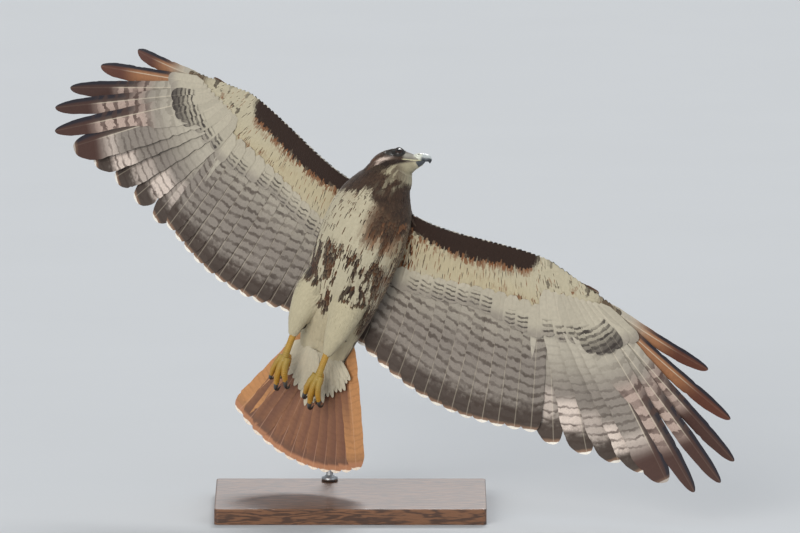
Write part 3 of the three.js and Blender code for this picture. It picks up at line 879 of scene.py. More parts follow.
def paintBody(p, n, luck):
    x, y = p[:, 0], p[:, 1]
    other = (luck * 7) % 1
    under = np.maximum(smooth(-n[:, 2], -0.3, 0.2), smooth(-x, 175, 200) * (p[:, 2] < 8))
    side = smooth(np.abs(n[:, 1]), 0.45, 0.9)
    warm = 0.3 * smooth(-x, *bodyPlan["warmBehind"])
    ground = mixed(plumage["cream"], plumage["warmCream"], warm)
    ground = mixed(ground, plumage["tailCovert"], smooth(-x, *bodyPlan["ventBehind"]))
    clumps = patches(x / 21, y / 4.2, 3)
    small = patches(x / 20, y / 3.2, 8)
    left = smooth(y, 10, 34)
    brown = mixed(plumage["headBrown"], plumage["malar"], 0.35 * small + 0.55 * other)
    rusty = smooth(x + 30 * (clumps - 0.5), *bodyPlan["rusty"]) * left
    rusty = rusty + 0.4 * smooth(x, 62, 84) * (y < 0)
    rusty = np.clip(0.95 * rusty * smooth(small + 0.5 * left, 0.3, 0.55), 0, 0.95)
    ground = mixed(ground, plumage["deepRufous"], rusty)
    shoulder = left * smooth(x + 34 * (small - 0.5), *bodyPlan["shoulder"])
    ground = mixed(ground, brown, 0.95 * shoulder * smooth(clumps + 0.2 * other, 0.3, 0.5))
    hood = smooth(x + 0.45 * np.abs(y - 4) + 9 * (small - 0.5), *bodyPlan["hood"])
    chin = bump(y - 0.35 * (x - 100), 22, 9) * smooth(-n[:, 2], 0.1, 0.5)
    chin = chin * smooth(x, *bodyPlan["chin"])
    ground = mixed(ground, brown, hood)
    ground = mixed(ground, plumage["throat"], 0.8 * chin * smooth(patches(x / 14, y / 3, 5), 0.35, 0.6))
    back = mixed(plumage["brown"], plumage["darkBrown"], luck)
    back = mixed(back, plumage["cream"], 0.35 * (luck > 0.86) * smooth(-x, -60, 0))
    ground = mixed(back, ground, under)
    band = smooth(x + 0.35 * y, *bodyPlan["bandRear"]) * under
    band = band * (1 - smooth(x + 0.2 * np.abs(y), *bodyPlan["bandFront"]))
    spots = band * smooth(clumps + 0.12 * side * np.sign(y) + 0.06 * (y > 20), 0.43, 0.52)
    flank = side * under * (x > -105) * (x < 30) * smooth(small, 0.5, 0.6) * (y > 0)
    dark = np.clip(spots + 0.8 * flank, 0, 1)
    ink = mixed(plumage["streak"], plumage["deepRufous"], 0.35 * smooth(other, 0.5, 0.9))
    ground = mixed(ground, ink, 0.93 * dark * (luck > 0.1))
    fine = (1 - hood) * under * smooth(x, -20, 10) * (luck > 0.82)
    fine += 0.8 * band * (luck > 0.75)
    streak = np.where(x > -120, 0.3 * fine + 0.3 * dark, 0)
    fringe = lerp(0.2, 0.06, under) * (1 - 0.6 * hood) + 0.08 * dark
    return ground, ink, np.stack([streak, 0.5 * side * band * (luck > 0.5), fringe], 1)


# Middles and half sizes of the head's markings, in mm from the middle of the head (x, z)
facePlan = {
    "cheek": ((-10, 9), (-7.6, 2.7)),
    # the eye patch is partly painted shadow under the brow
    "eyePatchAndBrowShadow": ((5, 14.5), (5, 8)),
    "lore": (-1.5, 7.5),
    "hairless": 0.4,  # cosine of the angle from the eye's axis
}


def paintHead(q, luck):
    x, y, z = q[:, 0], np.abs(q[:, 1]), q[:, 2]
    ground = mixed(plumage["headBrown"], plumage["malar"], 0.7 * luck)
    rusty = smooth(-x, 6, 30) * smooth(luck, 0.5, 0.9)
    ground = mixed(ground, plumage["rufous"], 0.3 * rusty)
    sides = smooth(y, 9, 14)
    cheek = bump(x, *facePlan["cheek"][0]) * bump(z, *facePlan["cheek"][1]) * sides
    ground = mixed(ground, plumage["pink"], np.clip(1.3 * cheek, 0, 0.9))
    lore = smooth(x, 14, 19) * bump(z, *facePlan["lore"])
    ground = mixed(ground, plumage["lore"], 0.92 * lore)
    # A dark patch over the eye and brow: partly the dark lids, partly painted shadow under the brow.
    across, over = ((v - middle) / half for v, (middle, half) in zip((x, z), facePlan["eyePatchAndBrowShadow"]))
    patch = 1 - smooth(np.hypot(across, over), 0.8, 1.1)
    ground = mixed(ground, plumage["lid"], 0.95 * patch * smooth(y, 9, 13))
    away = unit(np.stack([x - eyeSize["x"], y - eyeSize["y"], z - eyeSize["z"]], 1))
    bare = smooth(away @ eyeAxis(1), facePlan["hairless"], facePlan["hairless"] + 0.1)
    ground = mixed(ground, plumage["lid"], bare)
    chinLine = 14 + 0.3 * (18 - x)
    throat = smooth(-z, chinLine - 2, chinLine + 1) * smooth(x, -34, -14)
    malar = smooth(-z, 10, 12) * (1 - throat) * (1 - smooth(x, 19, 25))
    ground = mixed(ground, plumage["malar"], np.clip(malar * sides * 0.9, 0, 0.9))
    ground = mixed(ground, plumage["throat"], 0.92 * throat)
    furrow = throat * smooth(patches(x / 12, q[:, 1] / 2.2, 4), 0.4, 0.6) * smooth(-x, -20, -4)
    ground = mixed(ground, plumage["headBrown"], 0.75 * furrow)
    ink = np.tile(plumage["streak"], (len(x), 1))
    return ground, ink, np.stack([0.2 * cheek * (luck > 0.6), 0 * x, 0.08 + 0 * x], 1)


# The dark bar behind the underwing's front edge: margin before it and its width, at body and wrist
patagialBar = {"margin": (2.8, 4.8), "width": (9, 24), "span": (40, 246)}
# Two tawny rows on the underwing's coverts: where the rear one lies on the arm and on the hand, where
# along the wing it crosses over, how far apart the two lie, and where they come and go along the wing
tawnyRows = {"rear": (8, 58), "cross": (240, 340), "apart": 24, "come": (120, 230), "go": (350, 375)}
# The brown spot on the hand's front: its place and half length along the wing, and its soft rear edge
handSpot = {"along": (364, 13), "ahead": (54, 60)}


def paintUnderwing(x, s, luck):
    share = np.clip((s - patagialBar["span"][0]) / np.ptp(patagialBar["span"]), 0, 1)
    front = leadingEdge(s) - lerp(*patagialBar["margin"], share)
    rear = front - lerp(*patagialBar["width"], np.sin(share * 2.75) ** 0.8) + 6 * (luck - 0.5)
    inSpan = smooth(s, 36, 46) * (1 - smooth(s + 0.4 * (front - x), 246, 256))
    dark = smooth(x, rear - 1.5, rear + 1.5) * (1 - smooth(x, front - 0.5, front + 2)) * inSpan
    spikes = smooth(x, rear - 14, rear - 5) * (1 - smooth(x, rear - 1, rear + 2)) * inSpan
    rusty = spikes * smooth(luck, 0.45 - 0.3 * share, 0.75 - 0.3 * share)
    rusty = rusty + 0.5 * (1 - smooth(s, 52, 84)) * (luck > 0.55)
    warm = bump(x, 25, 26) * (1 - smooth(s, 300, 370))
    ground = mixed(plumage["cream"], plumage["warmCream"], 0.45 * warm)
    ground = mixed(ground, flightTones["paleBase"], 0.5 * (1 - smooth(x, -26, 6)))
    ground = mixed(ground, plumage["deepRufous"], np.clip(0.95 * rusty, 0, 0.92))
    # Painted rim light: the underwing's front edge turns white where light catches it.
    edge = smooth(x, front, front + 2)
    ground = mixed(ground, plumage["paintedRimLight"], 0.8 * edge)
    row = lerp(*tawnyRows["rear"], smooth(s, *tawnyRows["cross"]))
    tawny = bump(x, row, 5) + bump(x, row + tawnyRows["apart"], 4)
    tawny = tawny * smooth(s, *tawnyRows["come"]) * (1 - smooth(s, *tawnyRows["go"]))
    tawny = tawny * smooth(patches(x / 9, s / 6, 2), 0.5, 0.62)
    ground = mixed(ground, plumage["deepRufous"], 0.85 * tawny)
    arrows = smooth(patches(x / 7, s / 7, 6), 0.8, 0.86) * smooth(s, 255, 275) * (x > 22)
    ground = mixed(ground, plumage["streak"], 0.8 * arrows)
    ground = mixed(ground, plumage["patagial"], dark)
    spot = bump(s, *handSpot["along"]) * smooth(x, *handSpot["ahead"]) * (1 - edge)
    ground = mixed(ground, plumage["brown"], np.clip(1.3 * spot, 0, 0.9))
    thin = 0.17 * (luck > 0.87) * (x > -12)
    near = 0.4 * (1 - smooth(s, 60, 92)) * ((luck * 5) % 1 > 0.65)
    streak = (thin + near) * (1 - dark) * (1 - edge)
    ink = mixed(plumage["deepRufous"], plumage["streak"], smooth((luck * 9) % 1, 0.3, 0.8))
    return ground, ink, np.stack([streak, 0 * x, 0.12 * (1 - dark)], 1)


def paintUpperwing(x, s, luck):
    ground = mixed(plumage["wingBrown"], plumage["darkBrown"], 0.8 * luck)
    ground = mixed(ground, plumage["rufous"], 0.15 * (luck > 0.7))
    # Painted rim light: the front 6 mm of the upperwing turn white where light catches them.
    front = smooth(x, leadingEdge(s) - 9, leadingEdge(s) - 6)
    ground = mixed(ground, plumage["paintedRimLight"], 0.9 * front)
    ink = np.tile(plumage["darkBrown"], (len(x), 1))
    return ground, ink, np.stack([0.25 * (1 - front), 0.15 * (1 - front), 0.6 * (1 - front)], 1)


# Round this point the head's markings take over, farther out along the bill than to the sides
headReach = {"middle": (2, 0, -1), "shares": (0.8, 1, 1), "fade": (27, 33)}


# One painter for any point of the skin, so that skin and coat carry the same markings
def paintPoint(p, n, luck):
    ground, ink, marks = paintBody(p, n, luck)
    q = moved(p, headInverse)
    fromMiddle = (q - np.array(headReach["middle"])) * headReach["shares"]
    onHead = 1 - smooth(np.linalg.norm(fromMiddle, axis=1), *headReach["fade"])
    headGround, headInk, headMarks = paintHead(q, luck)
    ground = mixed(ground, headGround, onHead)
    ink = mixed(ink, headInk, onHead)
    marks = mixed(marks, headMarks, onHead)
    thigh = smooth(-p[:, 2] - 0.35 * (p[:, 0] + 60), 22, 34) * (p[:, 0] < -70) * (np.abs(p[:, 1]) > 14)
    ground = mixed(ground, plumage["thigh"], thigh)
    marks = marks * (1 - 0.8 * thigh)[:, None]
    s = np.abs(p[:, 1])
    onWing = smooth(s, 52, 66)
    isUnder = (n[:, 2] < 0)[:, None]
    below = paintUnderwing(p[:, 0], s, luck)
    above = paintUpperwing(p[:, 0], s, luck)
    wingLook = [np.where(isUnder, b, a) for b, a in zip(below, above)]
    return tuple(mixed(old, new, onWing) for old, new in zip((ground, ink, marks), wingLook))


half = np.full(len(skinPoints), 0.5)
setAttribute(skinMesh, "ground", "FLOAT_COLOR", paintPoint(skinPoints, skinNormals, half)[0])
skinMesh.transform(toFrame)
skinMesh.update()


# Small feathers. The vane is one low closed form, and Geometry Nodes set a copy on each follicle.
def smallVane(name, tip):
    rows = [(0.0, 0.5), (0.3, 0.85), (0.62, 1.0), (0.87, tip), (1.0, 0.22)]
    verts = []
    local = []
    for t, w in rows:
        arch = 0.12 * t * (1 - t)
        ridge = 0.018 * (1.1 - t)
        side = arch - 0.05 * w * w
        verts += [(t - 0.04 * w, -w, side), (t, 0, arch + ridge), (t - 0.04 * w, w, side)]
        local += [(-w, t, 0), (0, t, 0), (w, t, 0)]
    faces = []
    for r in range(len(rows) - 1):
        a = r * 3
        faces += [(a, a + 3, a + 4, a + 1), (a + 1, a + 4, a + 5, a + 2), (a, a + 2, a + 5, a + 3)]
    last = (len(rows) - 1) * 3
    faces += [(0, 1, 2), (last, last + 2, last + 1)]
    mesh = bpy.data.meshes.new(name)
    mesh.from_pydata(verts, [], faces)
    tidy(mesh)
    setAttribute(mesh, "vane", "FLOAT_VECTOR", np.array(local))
    return place(name, mesh)


def featherTree():
    tree = bpy.data.node_groups.new("featherCoat", "GeometryNodeTree")
    kinds = {"Follicles": "Geometry", "Vane": "Object", "Length": "Float", "Width": "Float",
             "Ruffle": "Vector", "Finish": "Material"}
    for key, kind in kinds.items():
        tree.interface.new_socket(key, in_out="INPUT", socket_type="NodeSocket" + kind)
    tree.interface.new_socket("Coat", in_out="OUTPUT", socket_type="NodeSocketGeometry")

    def add(kind, **settings):
        node = tree.nodes.new(kind)
        for key, value in settings.items():
            setattr(node, key, value)
        return node

    start = add("NodeGroupInput")
    end = add("NodeGroupOutput")
    turn = add("GeometryNodeInputNamedAttribute", data_type="FLOAT_VECTOR")
    turn.inputs["Name"].default_value = "turn"
    size = add("GeometryNodeInputNamedAttribute", data_type="FLOAT_VECTOR")
    size.inputs["Name"].default_value = "size"
    vane = add("GeometryNodeObjectInfo")
    scales = add("ShaderNodeCombineXYZ")
    sized = add("ShaderNodeVectorMath", operation="MULTIPLY")
    chance = add("FunctionNodeRandomValue", data_type="FLOAT_VECTOR")
    chance.inputs["Min"].default_value = (-1, -1, -1)
    chance.inputs["Max"].default_value = (1, 1, 1)
    chance.inputs["Seed"].default_value = 7
    sway = add("ShaderNodeVectorMath", operation="MULTIPLY")
    instances = add("GeometryNodeInstanceOnPoints")
    ruffled = add("GeometryNodeRotateInstances")
    real = add("GeometryNodeRealizeInstances")
    finish = add("GeometryNodeSetMaterial")
    link = tree.links.new
    link(start.outputs["Vane"], vane.inputs["Object"])
    link(start.outputs["Length"], scales.inputs["X"])
    link(start.outputs["Width"], scales.inputs["Y"])
    link(start.outputs["Length"], scales.inputs["Z"])
    link(size.outputs["Attribute"], sized.inputs[0])
    link(scales.outputs["Vector"], sized.inputs[1])
    link(chance.outputs["Value"], sway.inputs[0])
    link(start.outputs["Ruffle"], sway.inputs[1])
    link(sway.outputs["Vector"], ruffled.inputs["Rotation"])
    link(start.outputs["Follicles"], instances.inputs["Points"])
    link(vane.outputs["Geometry"], instances.inputs["Instance"])
    link(turn.outputs["Attribute"], instances.inputs["Rotation"])
    link(sized.outputs["Vector"], instances.inputs["Scale"])
    link(instances.outputs["Instances"], ruffled.inputs["Instances"])
    link(ruffled.outputs["Instances"], real.inputs["Geometry"])
    link(real.outputs["Geometry"], finish.inputs["Geometry"])
    link(start.outputs["Finish"], finish.inputs["Material"])
    link(finish.outputs["Geometry"], end.inputs["Coat"])
    return tree


def nearestSkin(points):
    places, normals = [], []
    for p in points:
        hit, normal, _, _ = skinTree.find_nearest(Vector(p))
        places.append(hit)
        normals.append(normal)
    return np.array(places), np.array(normals)


def eulers(ahead, normal):
    up = unit(normal - ahead * np.sum(normal * ahead, 1, keepdims=True))
    across = np.cross(up, ahead)
    x = np.arctan2(across[:, 2], up[:, 2])
    y = np.arcsin(np.clip(-ahead[:, 2], -1, 1))
    z = np.arctan2(ahead[:, 1], ahead[:, 0])
    return np.stack([x, y, z], 1)


# Follicles: places on the skin with the way each feather lies, its size and its colours
def follicles(points, lie, length, width, clear, uv, luck, maxGap=4.0):
    hits, normals = nearestSkin(points)
    keep = np.linalg.norm(hits - points, axis=1) < maxGap
    hits, normals, lie, length, width, clear, uv, luck = (
        a[keep] for a in (hits, normals, lie, length, width, clear, uv, luck))
    flat = unit(lie - normals * np.sum(lie * normals, 1, keepdims=True))
    tips, tipNormals = nearestSkin(hits + flat * length[:, None])
    tips = tips + tipNormals * clear[:, None]
    chord = tips - hits
    reach = np.linalg.norm(chord, axis=1)
    stray = (reach < 0.5 * length) | (np.sum(chord * flat, 1) < 0.85 * reach)
    length = np.where(stray, 0.45 * length, length)
    chord[stray] = (flat * length[:, None] + normals * clear[:, None])[stray]
    ground, ink, marks = paintPoint(hits + 0.35 * flat * length[:, None], normals, luck)
    return {
        "points": hits - normals * 0.25, "ahead": unit(chord), "normals": normals,
        "size": np.stack([length, width, length], 1), "uv": uv, "luck": luck,
        "ground": ground, "ink": ink, "marks": marks,
    }


featherNodes = featherTree()


def coat(name, data, vane, finish, ruffle=0.05):
    mesh = bpy.data.meshes.new(name)
    mesh.from_pydata(moved(data["points"], toFrame).tolist(), [], [])
    ahead = unit(turnedOnly(data["ahead"], hangMatrix))
    normal = unit(turnedOnly(data["normals"], hangMatrix))
    setAttribute(mesh, "turn", "FLOAT_VECTOR", eulers(ahead, normal))
    setAttribute(mesh, "skinNormal", "FLOAT_VECTOR", normal)
    setAttribute(mesh, "size", "FLOAT_VECTOR", data["size"] * mm)
    for key in ("ground", "ink"):
        setAttribute(mesh, key, "FLOAT_COLOR", data[key])
    setAttribute(mesh, "marks", "FLOAT_VECTOR", data["marks"])
    setAttribute(mesh, "luck", "FLOAT", data["luck"])
    setAttribute(mesh, "rootUv", "FLOAT_VECTOR", np.hstack([data["uv"], 0 * data["uv"][:, :1]]))
    piece = place(name, mesh)
    grow = piece.modifiers.new("coat", "NODES")
    grow.node_group = featherNodes
    sway = [ruffle, 0.12 * ruffle, 1.2 * ruffle]
    sockets = {s.name: s.identifier for s in featherNodes.interface.items_tree if s.in_out == "INPUT"}
    inputs = {"Vane": vane, "Length": 1.0, "Width": 1.0, "Ruffle": sway, "Finish": finish}
    for key, value in inputs.items():
        grow[sockets[key]] = value
    mesh = baked(piece)
    shadedLike(mesh, vectorsOf(mesh, "skinNormal"), 0.75)
    local, root = vectorsOf(mesh, "vane"), vectorsOf(mesh, "rootUv")
    patch = root[:, :2] + 0.003 * np.stack([(local[:, 0] + 1) / 2, local[:, 1]], 1)
    mapUv(mesh, patch)
    print(name + ":", len(data["luck"]), "feathers,", len(mesh.polygons), "faces")
    return piece


def mapUv(mesh, byVertex):
    loops = np.zeros(len(mesh.loops), np.int32)
    mesh.loops.foreach_get("vertex_index", loops)
    layer = mesh.uv_layers.new(name="OFBake")
    layer.data.foreach_set("uv", byVertex[loops].astype(np.float32).ravel())


# Materials
class Wires:
    def __init__(self, tree):
        self.tree = tree

    def add(self, kind, **settings):
        node = self.tree.nodes.new(kind)
        for key, value in settings.items():
            setattr(node, key, value)
        return node

    def put(self, socket, value):
        if isinstance(value, bpy.types.NodeSocket):
            self.tree.links.new(value, socket)
        elif isinstance(value, (tuple, list, np.ndarray)) and socket.type == "RGBA":
            socket.default_value = (*value, 1)
        else:
            socket.default_value = value

    def calc(self, operation, a, b=0.0, c=0.0, clamp=False):
        node = self.add("ShaderNodeMath", operation=operation, use_clamp=clamp)
        for socket, value in zip(node.inputs, (a, b, c)):
            self.put(socket, value)
        return node.outputs[0]

    def step(self, value, low, high, start=0.0, end=1.0):
        node = self.add("ShaderNodeMapRange", interpolation_type="SMOOTHSTEP")
        for socket, v in zip(node.inputs, (value, low, high, start, end)):
            self.put(socket, v)
        return node.outputs[0]

    def mix(self, factor, a, b, blend="MIX"):
        node = self.add("ShaderNodeMix", data_type="RGBA", blend_type=blend)
        for socket, value in zip((node.inputs[0], node.inputs[6], node.inputs[7]), (factor, a, b)):
            self.put(socket, value)
        return node.outputs[2]

    def attribute(self, name):
        return self.add("ShaderNodeAttribute", attribute_name=name).outputs

    def split(self, vector):
        node = self.add("ShaderNodeSeparateXYZ")
        self.put(node.inputs[0], vector)
        return node.outputs

    def noise(self, scale, detail=3.0, vector=None, stretch=None):
        if vector is None:
            vector = self.add("ShaderNodeTexCoord").outputs["Object"]
        if stretch:
            mapping = self.add("ShaderNodeMapping")
            mapping.inputs["Scale"].default_value = stretch
            self.put(mapping.inputs["Vector"], vector)
            vector = mapping.outputs[0]
        node = self.add("ShaderNodeTexNoise")
        self.put(node.inputs["Vector"], vector)
        node.inputs["Scale"].default_value = scale
        node.inputs["Detail"].default_value = detail
        return node.outputs[0]

    def group(self, tree, **values):
        node = self.add("ShaderNodeGroup", node_tree=tree)
        for key, value in values.items():
            self.put(node.inputs[key], value)
        return node.outputs


def newGroup(name, inputs, outputs):
    tree = bpy.data.node_groups.new(name, "ShaderNodeTree")
    kinds = {"c": "NodeSocketColor", "v": "NodeSocketVector", "f": "NodeSocketFloat"}
    for key, kind in inputs.items():
        tree.interface.new_socket(key, in_out="INPUT", socket_type=kinds[kind])
    for key, kind in outputs.items():
        tree.interface.new_socket(key, in_out="OUTPUT", socket_type=kinds[kind])
    wires = Wires(tree)
    return tree, wires, wires.add("NodeGroupInput").outputs, wires.add("NodeGroupOutput").inputs


def smallFeatherMarks():
    ports = {"Ground": "c", "Ink": "c", "Edge": "c", "Vane": "v", "Marks": "v", "Luck": "f"}
    tree, w, given, out = newGroup("smallFeatherMarks", ports, {"Color": "c", "Height": "f"})
    u, t, _ = w.split(given["Vane"])
    streak, bars, fringe = w.split(given["Marks"])
    across = w.calc("ABSOLUTE", u)
    wobble = w.calc("MULTIPLY", w.calc("SUBTRACT", w.noise(420.0), 0.5), 0.5)
    taper = w.calc("SUBTRACT", 1.0, w.calc("ABSOLUTE", w.calc("SUBTRACT", t, 0.66)))
    width = w.calc("MULTIPLY", streak, taper)
    reach = w.calc("ADD", w.calc("SUBTRACT", width, across), w.calc("MULTIPLY", wobble, streak))
    streaked = w.step(reach, 0.0, 0.14)
    phase = w.calc("MULTIPLY", given["Luck"], 40.0)
    wave = w.calc("SINE", w.calc("ADD", w.calc("MULTIPLY", t, 19.0), phase))
    barred = w.calc("MULTIPLY", w.step(w.calc("ADD", wave, wobble), 0.1, 0.5), bars)
    color = w.mix(w.calc("MAXIMUM", streaked, barred), given["Ground"], given["Ink"])
    rim = w.step(w.calc("MAXIMUM", across, t), 0.72, 1.0)
    color = w.mix(w.calc("MULTIPLY", rim, fringe), color, given["Edge"])
    shade = w.calc("MULTIPLY_ADD", given["Luck"], 0.1, 0.95)
    slant = w.calc("SUBTRACT", t, w.calc("MULTIPLY", across, 0.45))
    barbs = w.calc("SINE", w.calc("MULTIPLY", slant, 130.0))
    shade = w.calc("MULTIPLY", shade, w.calc("MULTIPLY_ADD", barbs, 0.035, 1.0))
    # Painted shade: each vane darkens towards its root, where the feathers above lie over it.
    base = w.step(t, 0.1, 0.7, 0.9, 1.0)
    color = w.mix(1.0, color, w.calc("MULTIPLY", shade, base), "MULTIPLY")
    w.put(out["Color"], color)
    w.put(out["Height"], w.calc("MULTIPLY_ADD", barbs, 0.5, 0.5))
    return tree


def flightMarks():
    ports = {"Ground": "c", "Ink": "c", "Band": "c", "Tan": "c", "Rim": "c", "Shaft": "c", "Top": "c",
             "Top Ink": "c", "Vane": "v", "Marks": "v", "Cast": "v", "Bars": "v",
             "Shaft Look": "f", "Band From": "f", "Tan From": "f", "Ragged": "f"}
    tree, w, given, out = newGroup("flightFeatherMarks", ports, {"Color": "c", "Height": "f"})
    _, fromRoot, toTip = w.split(given["Vane"])
    bars, band, rim = w.split(given["Marks"])
    lateral, luck, above = w.split(given["Cast"])
    spacing, level, soft = w.split(given["Bars"])
    aside = w.calc("ABSOLUTE", lateral)
    rough = w.calc("SUBTRACT", w.noise(120.0, 4.0), 0.5)
    wobble = w.calc("MULTIPLY", rough, w.calc("MULTIPLY", spacing, 0.95))
    run = w.calc("ADD", w.calc("ADD", fromRoot, w.calc("MULTIPLY", aside, 0.12)), wobble)
    run = w.calc("ADD", run, w.calc("MULTIPLY", luck, 23.0))
    wave = w.calc("SINE", w.calc("MULTIPLY", w.calc("DIVIDE", run, spacing), 2 * math.pi))
    rise = w.calc("DIVIDE", w.calc("SUBTRACT", wave, level), soft, clamp=True)
    patchy = w.step(w.noise(55.0, 3.0), 0.32, 0.64, 0.45, 1.0)
    barred = w.calc("MULTIPLY", w.calc("MULTIPLY", rise, bars), patchy)
    color = w.mix(barred, given["Ground"], given["Ink"])
    speckle = w.calc("MULTIPLY", w.step(w.noise(800.0, 3.0), 0.5, 0.7), w.calc("MULTIPLY", bars, 0.3))
    color = w.mix(speckle, color, given["Ink"])
    inset = w.calc("ADD", toTip, w.calc("MULTIPLY", rough, given["Ragged"]))
    bandStart = w.calc("MULTIPLY", given["Band From"], 1.45)
    bandFull = w.calc("MULTIPLY", given["Band From"], 0.7)
    banded = w.calc("MULTIPLY", w.step(inset, bandStart, bandFull), band)
    color = w.mix(w.calc("MULTIPLY", banded, 0.9), color, given["Band"])
    nearEdge = w.calc("ADD", toTip, w.calc("MULTIPLY", rough, 4.0))
    tanStart = w.calc("ADD", given["Tan From"], 2.5)
    tanFull = w.calc("SUBTRACT", given["Tan From"], 2.5)
    color = w.mix(w.calc("MULTIPLY", w.step(nearEdge, tanStart, tanFull), rim), color, given["Tan"])
    whiteRim = w.calc("MULTIPLY", w.step(nearEdge, 4.4, 3.0), rim)
    color = w.mix(whiteRim, color, given["Rim"])
    shaft = w.calc("MULTIPLY", w.step(aside, 0.95, 0.45), given["Shaft Look"])
    color = w.mix(shaft, color, given["Shaft"])
    topBars = w.calc("MULTIPLY", w.step(wave, 0.2, 0.8), 0.75)
    top = w.mix(topBars, given["Top"], given["Top Ink"])
    top = w.mix(w.calc("MULTIPLY", banded, 0.8), top, given["Top Ink"])
    top = w.mix(w.calc("MULTIPLY", whiteRim, 0.75), top, given["Rim"])
    color = w.mix(above, color, top)
    slant = w.calc("SUBTRACT", fromRoot, w.calc("MULTIPLY", aside, 1.1))
    barbs = w.calc("SINE", w.calc("MULTIPLY", slant, 5.2))
    fleck = w.calc("MULTIPLY_ADD", w.noise(240.0, 4.0), 0.3, 0.85)
    shade = w.calc("MULTIPLY", fleck, w.calc("MULTIPLY_ADD", barbs, 0.03, 1.0))
    shade = w.calc("MULTIPLY", shade, w.calc("MULTIPLY_ADD", luck, 0.12, 0.94))
    color = w.mix(1.0, color, shade, "MULTIPLY")
    w.put(out["Color"], color)
    w.put(out["Height"], w.calc("MULTIPLY_ADD", barbs, 0.5, 0.5))
    return tree


def wornSurface():
    ports = {"Ground": "c", "Scale": "f", "Depth": "f"}
    tree, w, given, out = newGroup("wornSurface", ports, {"Color": "c", "Rough": "f", "Height": "f"})
    fine = w.add("ShaderNodeTexNoise")
    w.put(fine.inputs["Vector"], w.add("ShaderNodeTexCoord").outputs["Object"])
    w.put(fine.inputs["Scale"], given["Scale"])
    fine.inputs["Detail"].default_value = 5.0
    coarse = w.noise(90.0, 2.0)
    grain = w.calc("SUBTRACT", fine.outputs[0], 0.5)
    shade = w.calc("MULTIPLY_ADD", grain, given["Depth"], 1.0)
    shade = w.calc("MULTIPLY", shade, w.calc("MULTIPLY_ADD", coarse, 0.3, 0.85))
    w.put(out["Color"], w.mix(1.0, given["Ground"], shade, "MULTIPLY"))
    w.put(out["Rough"], w.calc("MULTIPLY_ADD", grain, 0.25, 0.5))
    w.put(out["Height"], fine.outputs[0])
    return tree


smallMarks = smallFeatherMarks()
largeMarks = flightMarks()
worn = wornSurface()


def newMaterial(name):
    material = bpy.data.materials.new(name)
    material.use_nodes = True
    tree = material.node_tree
    tree.nodes.clear()
    w = Wires(tree)
    shader = w.add("ShaderNodeBsdfPrincipled")
    w.put(w.add("ShaderNodeOutputMaterial").inputs["Surface"], shader.outputs[0])
    return material, w, shader.inputs


def raised(w, height, distance, strength=0.6):
    node = w.add("ShaderNodeBump")
    node.inputs["Distance"].default_value = distance
    node.inputs["Strength"].default_value = strength
    w.put(node.inputs["Height"], height)
    return node.outputs[0]


def coatMaterial(name, edge):
    material, w, shader = newMaterial(name)
    marks = w.group(smallMarks, **{
        "Ground": w.attribute("ground")["Color"], "Ink": w.attribute("ink")["Color"], "Edge": edge,
        "Vane": w.attribute("vane")["Vector"], "Marks": w.attribute("marks")["Vector"],
        "Luck": w.attribute("luck")["Fac"]})
    w.put(shader["Base Color"], marks["Color"])
    w.put(shader["Normal"], raised(w, marks["Height"], 0.0001, 0.35))
    shader["Roughness"].default_value = 0.78
    shader["Specular IOR Level"].default_value = 0.25
    shader["Sheen Weight"].default_value = 0.15
    shader["Sheen Roughness"].default_value = 0.5
    return material


def flightMaterial(name, tones, marking):
    material, w, shader = newMaterial(name)
    marks = w.group(largeMarks, **{
        "Ground": w.attribute("ground")["Color"], "Ink": w.attribute("ink")["Color"],
        "Vane": w.attribute("vane")["Vector"], "Marks": w.attribute("marks")["Vector"],
        "Cast": w.attribute("cast")["Vector"], "Bars": w.attribute("barShape")["Vector"],
        "Shaft Look": w.attribute("shaftLook")["Fac"],
        **tones, **marking})
    w.put(shader["Base Color"], marks["Color"])
    w.put(shader["Normal"], raised(w, marks["Height"], 0.00012, 0.3))
    shader["Roughness"].default_value = 0.62
    shader["Specular IOR Level"].default_value = 0.35
    shader["Sheen Weight"].default_value = 0.1
    return material


def hardMaterial(name, scale, depth, coatWeight, bumpDepth):
    material, w, shader = newMaterial(name)
    surface = w.group(worn, **{"Ground": w.attribute("ground")["Color"], "Scale": scale, "Depth": depth})
    w.put(shader["Base Color"], surface["Color"])
    w.put(shader["Roughness"], surface["Rough"])
    w.put(shader["Normal"], raised(w, surface["Height"], bumpDepth, 0.5))
    shader["Coat Weight"].default_value = coatWeight
    shader["Coat Roughness"].default_value = 0.2
    return material


def eyeMaterial():
    material, w, shader = newMaterial("eye")
    angle = w.attribute("fromAxis")["Fac"]
    rays = w.noise(900.0, 4.0)
    iris = w.mix(rays, tone("#1b0f0a"), tone("#331b0e"))
    iris = w.mix(w.step(angle, 30.0, 39.0), iris, tone("#120a07"))
    color = w.mix(w.step(angle, 20.5, 19.0), iris, tone("#050404"))
    w.put(shader["Base Color"], color)
    shader["Roughness"].default_value = 0.3
    shader["Specular IOR Level"].default_value = 0.3
    shader["Coat Weight"].default_value = 0.45
    shader["Coat Roughness"].default_value = 0.04
    return material


def woodMaterial():
    material, w, shader = newMaterial("base_wood")
    grain = w.noise(9.0, 6.0, stretch=(1.2, 9.0, 9.0))
    rings = w.calc("SINE", w.calc("MULTIPLY", grain, 46.0))
    pores = w.noise(420.0, 2.0, stretch=(0.06, 1.0, 1.0))
    color = w.mix(w.step(rings, -0.9, 1.0), tone("#4b3020"), tone("#7a5236"))
    color = w.mix(w.step(pores, 0.56, 0.7, 0.0, 0.55), color, tone("#2d1b10"))
    w.put(shader["Base Color"], color)
    w.put(shader["Roughness"], w.calc("MULTIPLY_ADD", pores, 0.3, 0.25))
    w.put(shader["Normal"], raised(w, pores, 0.0003, 0.3))
    shader["Coat Weight"].default_value = 0.25
    shader["Coat Roughness"].default_value = 0.25
    return material


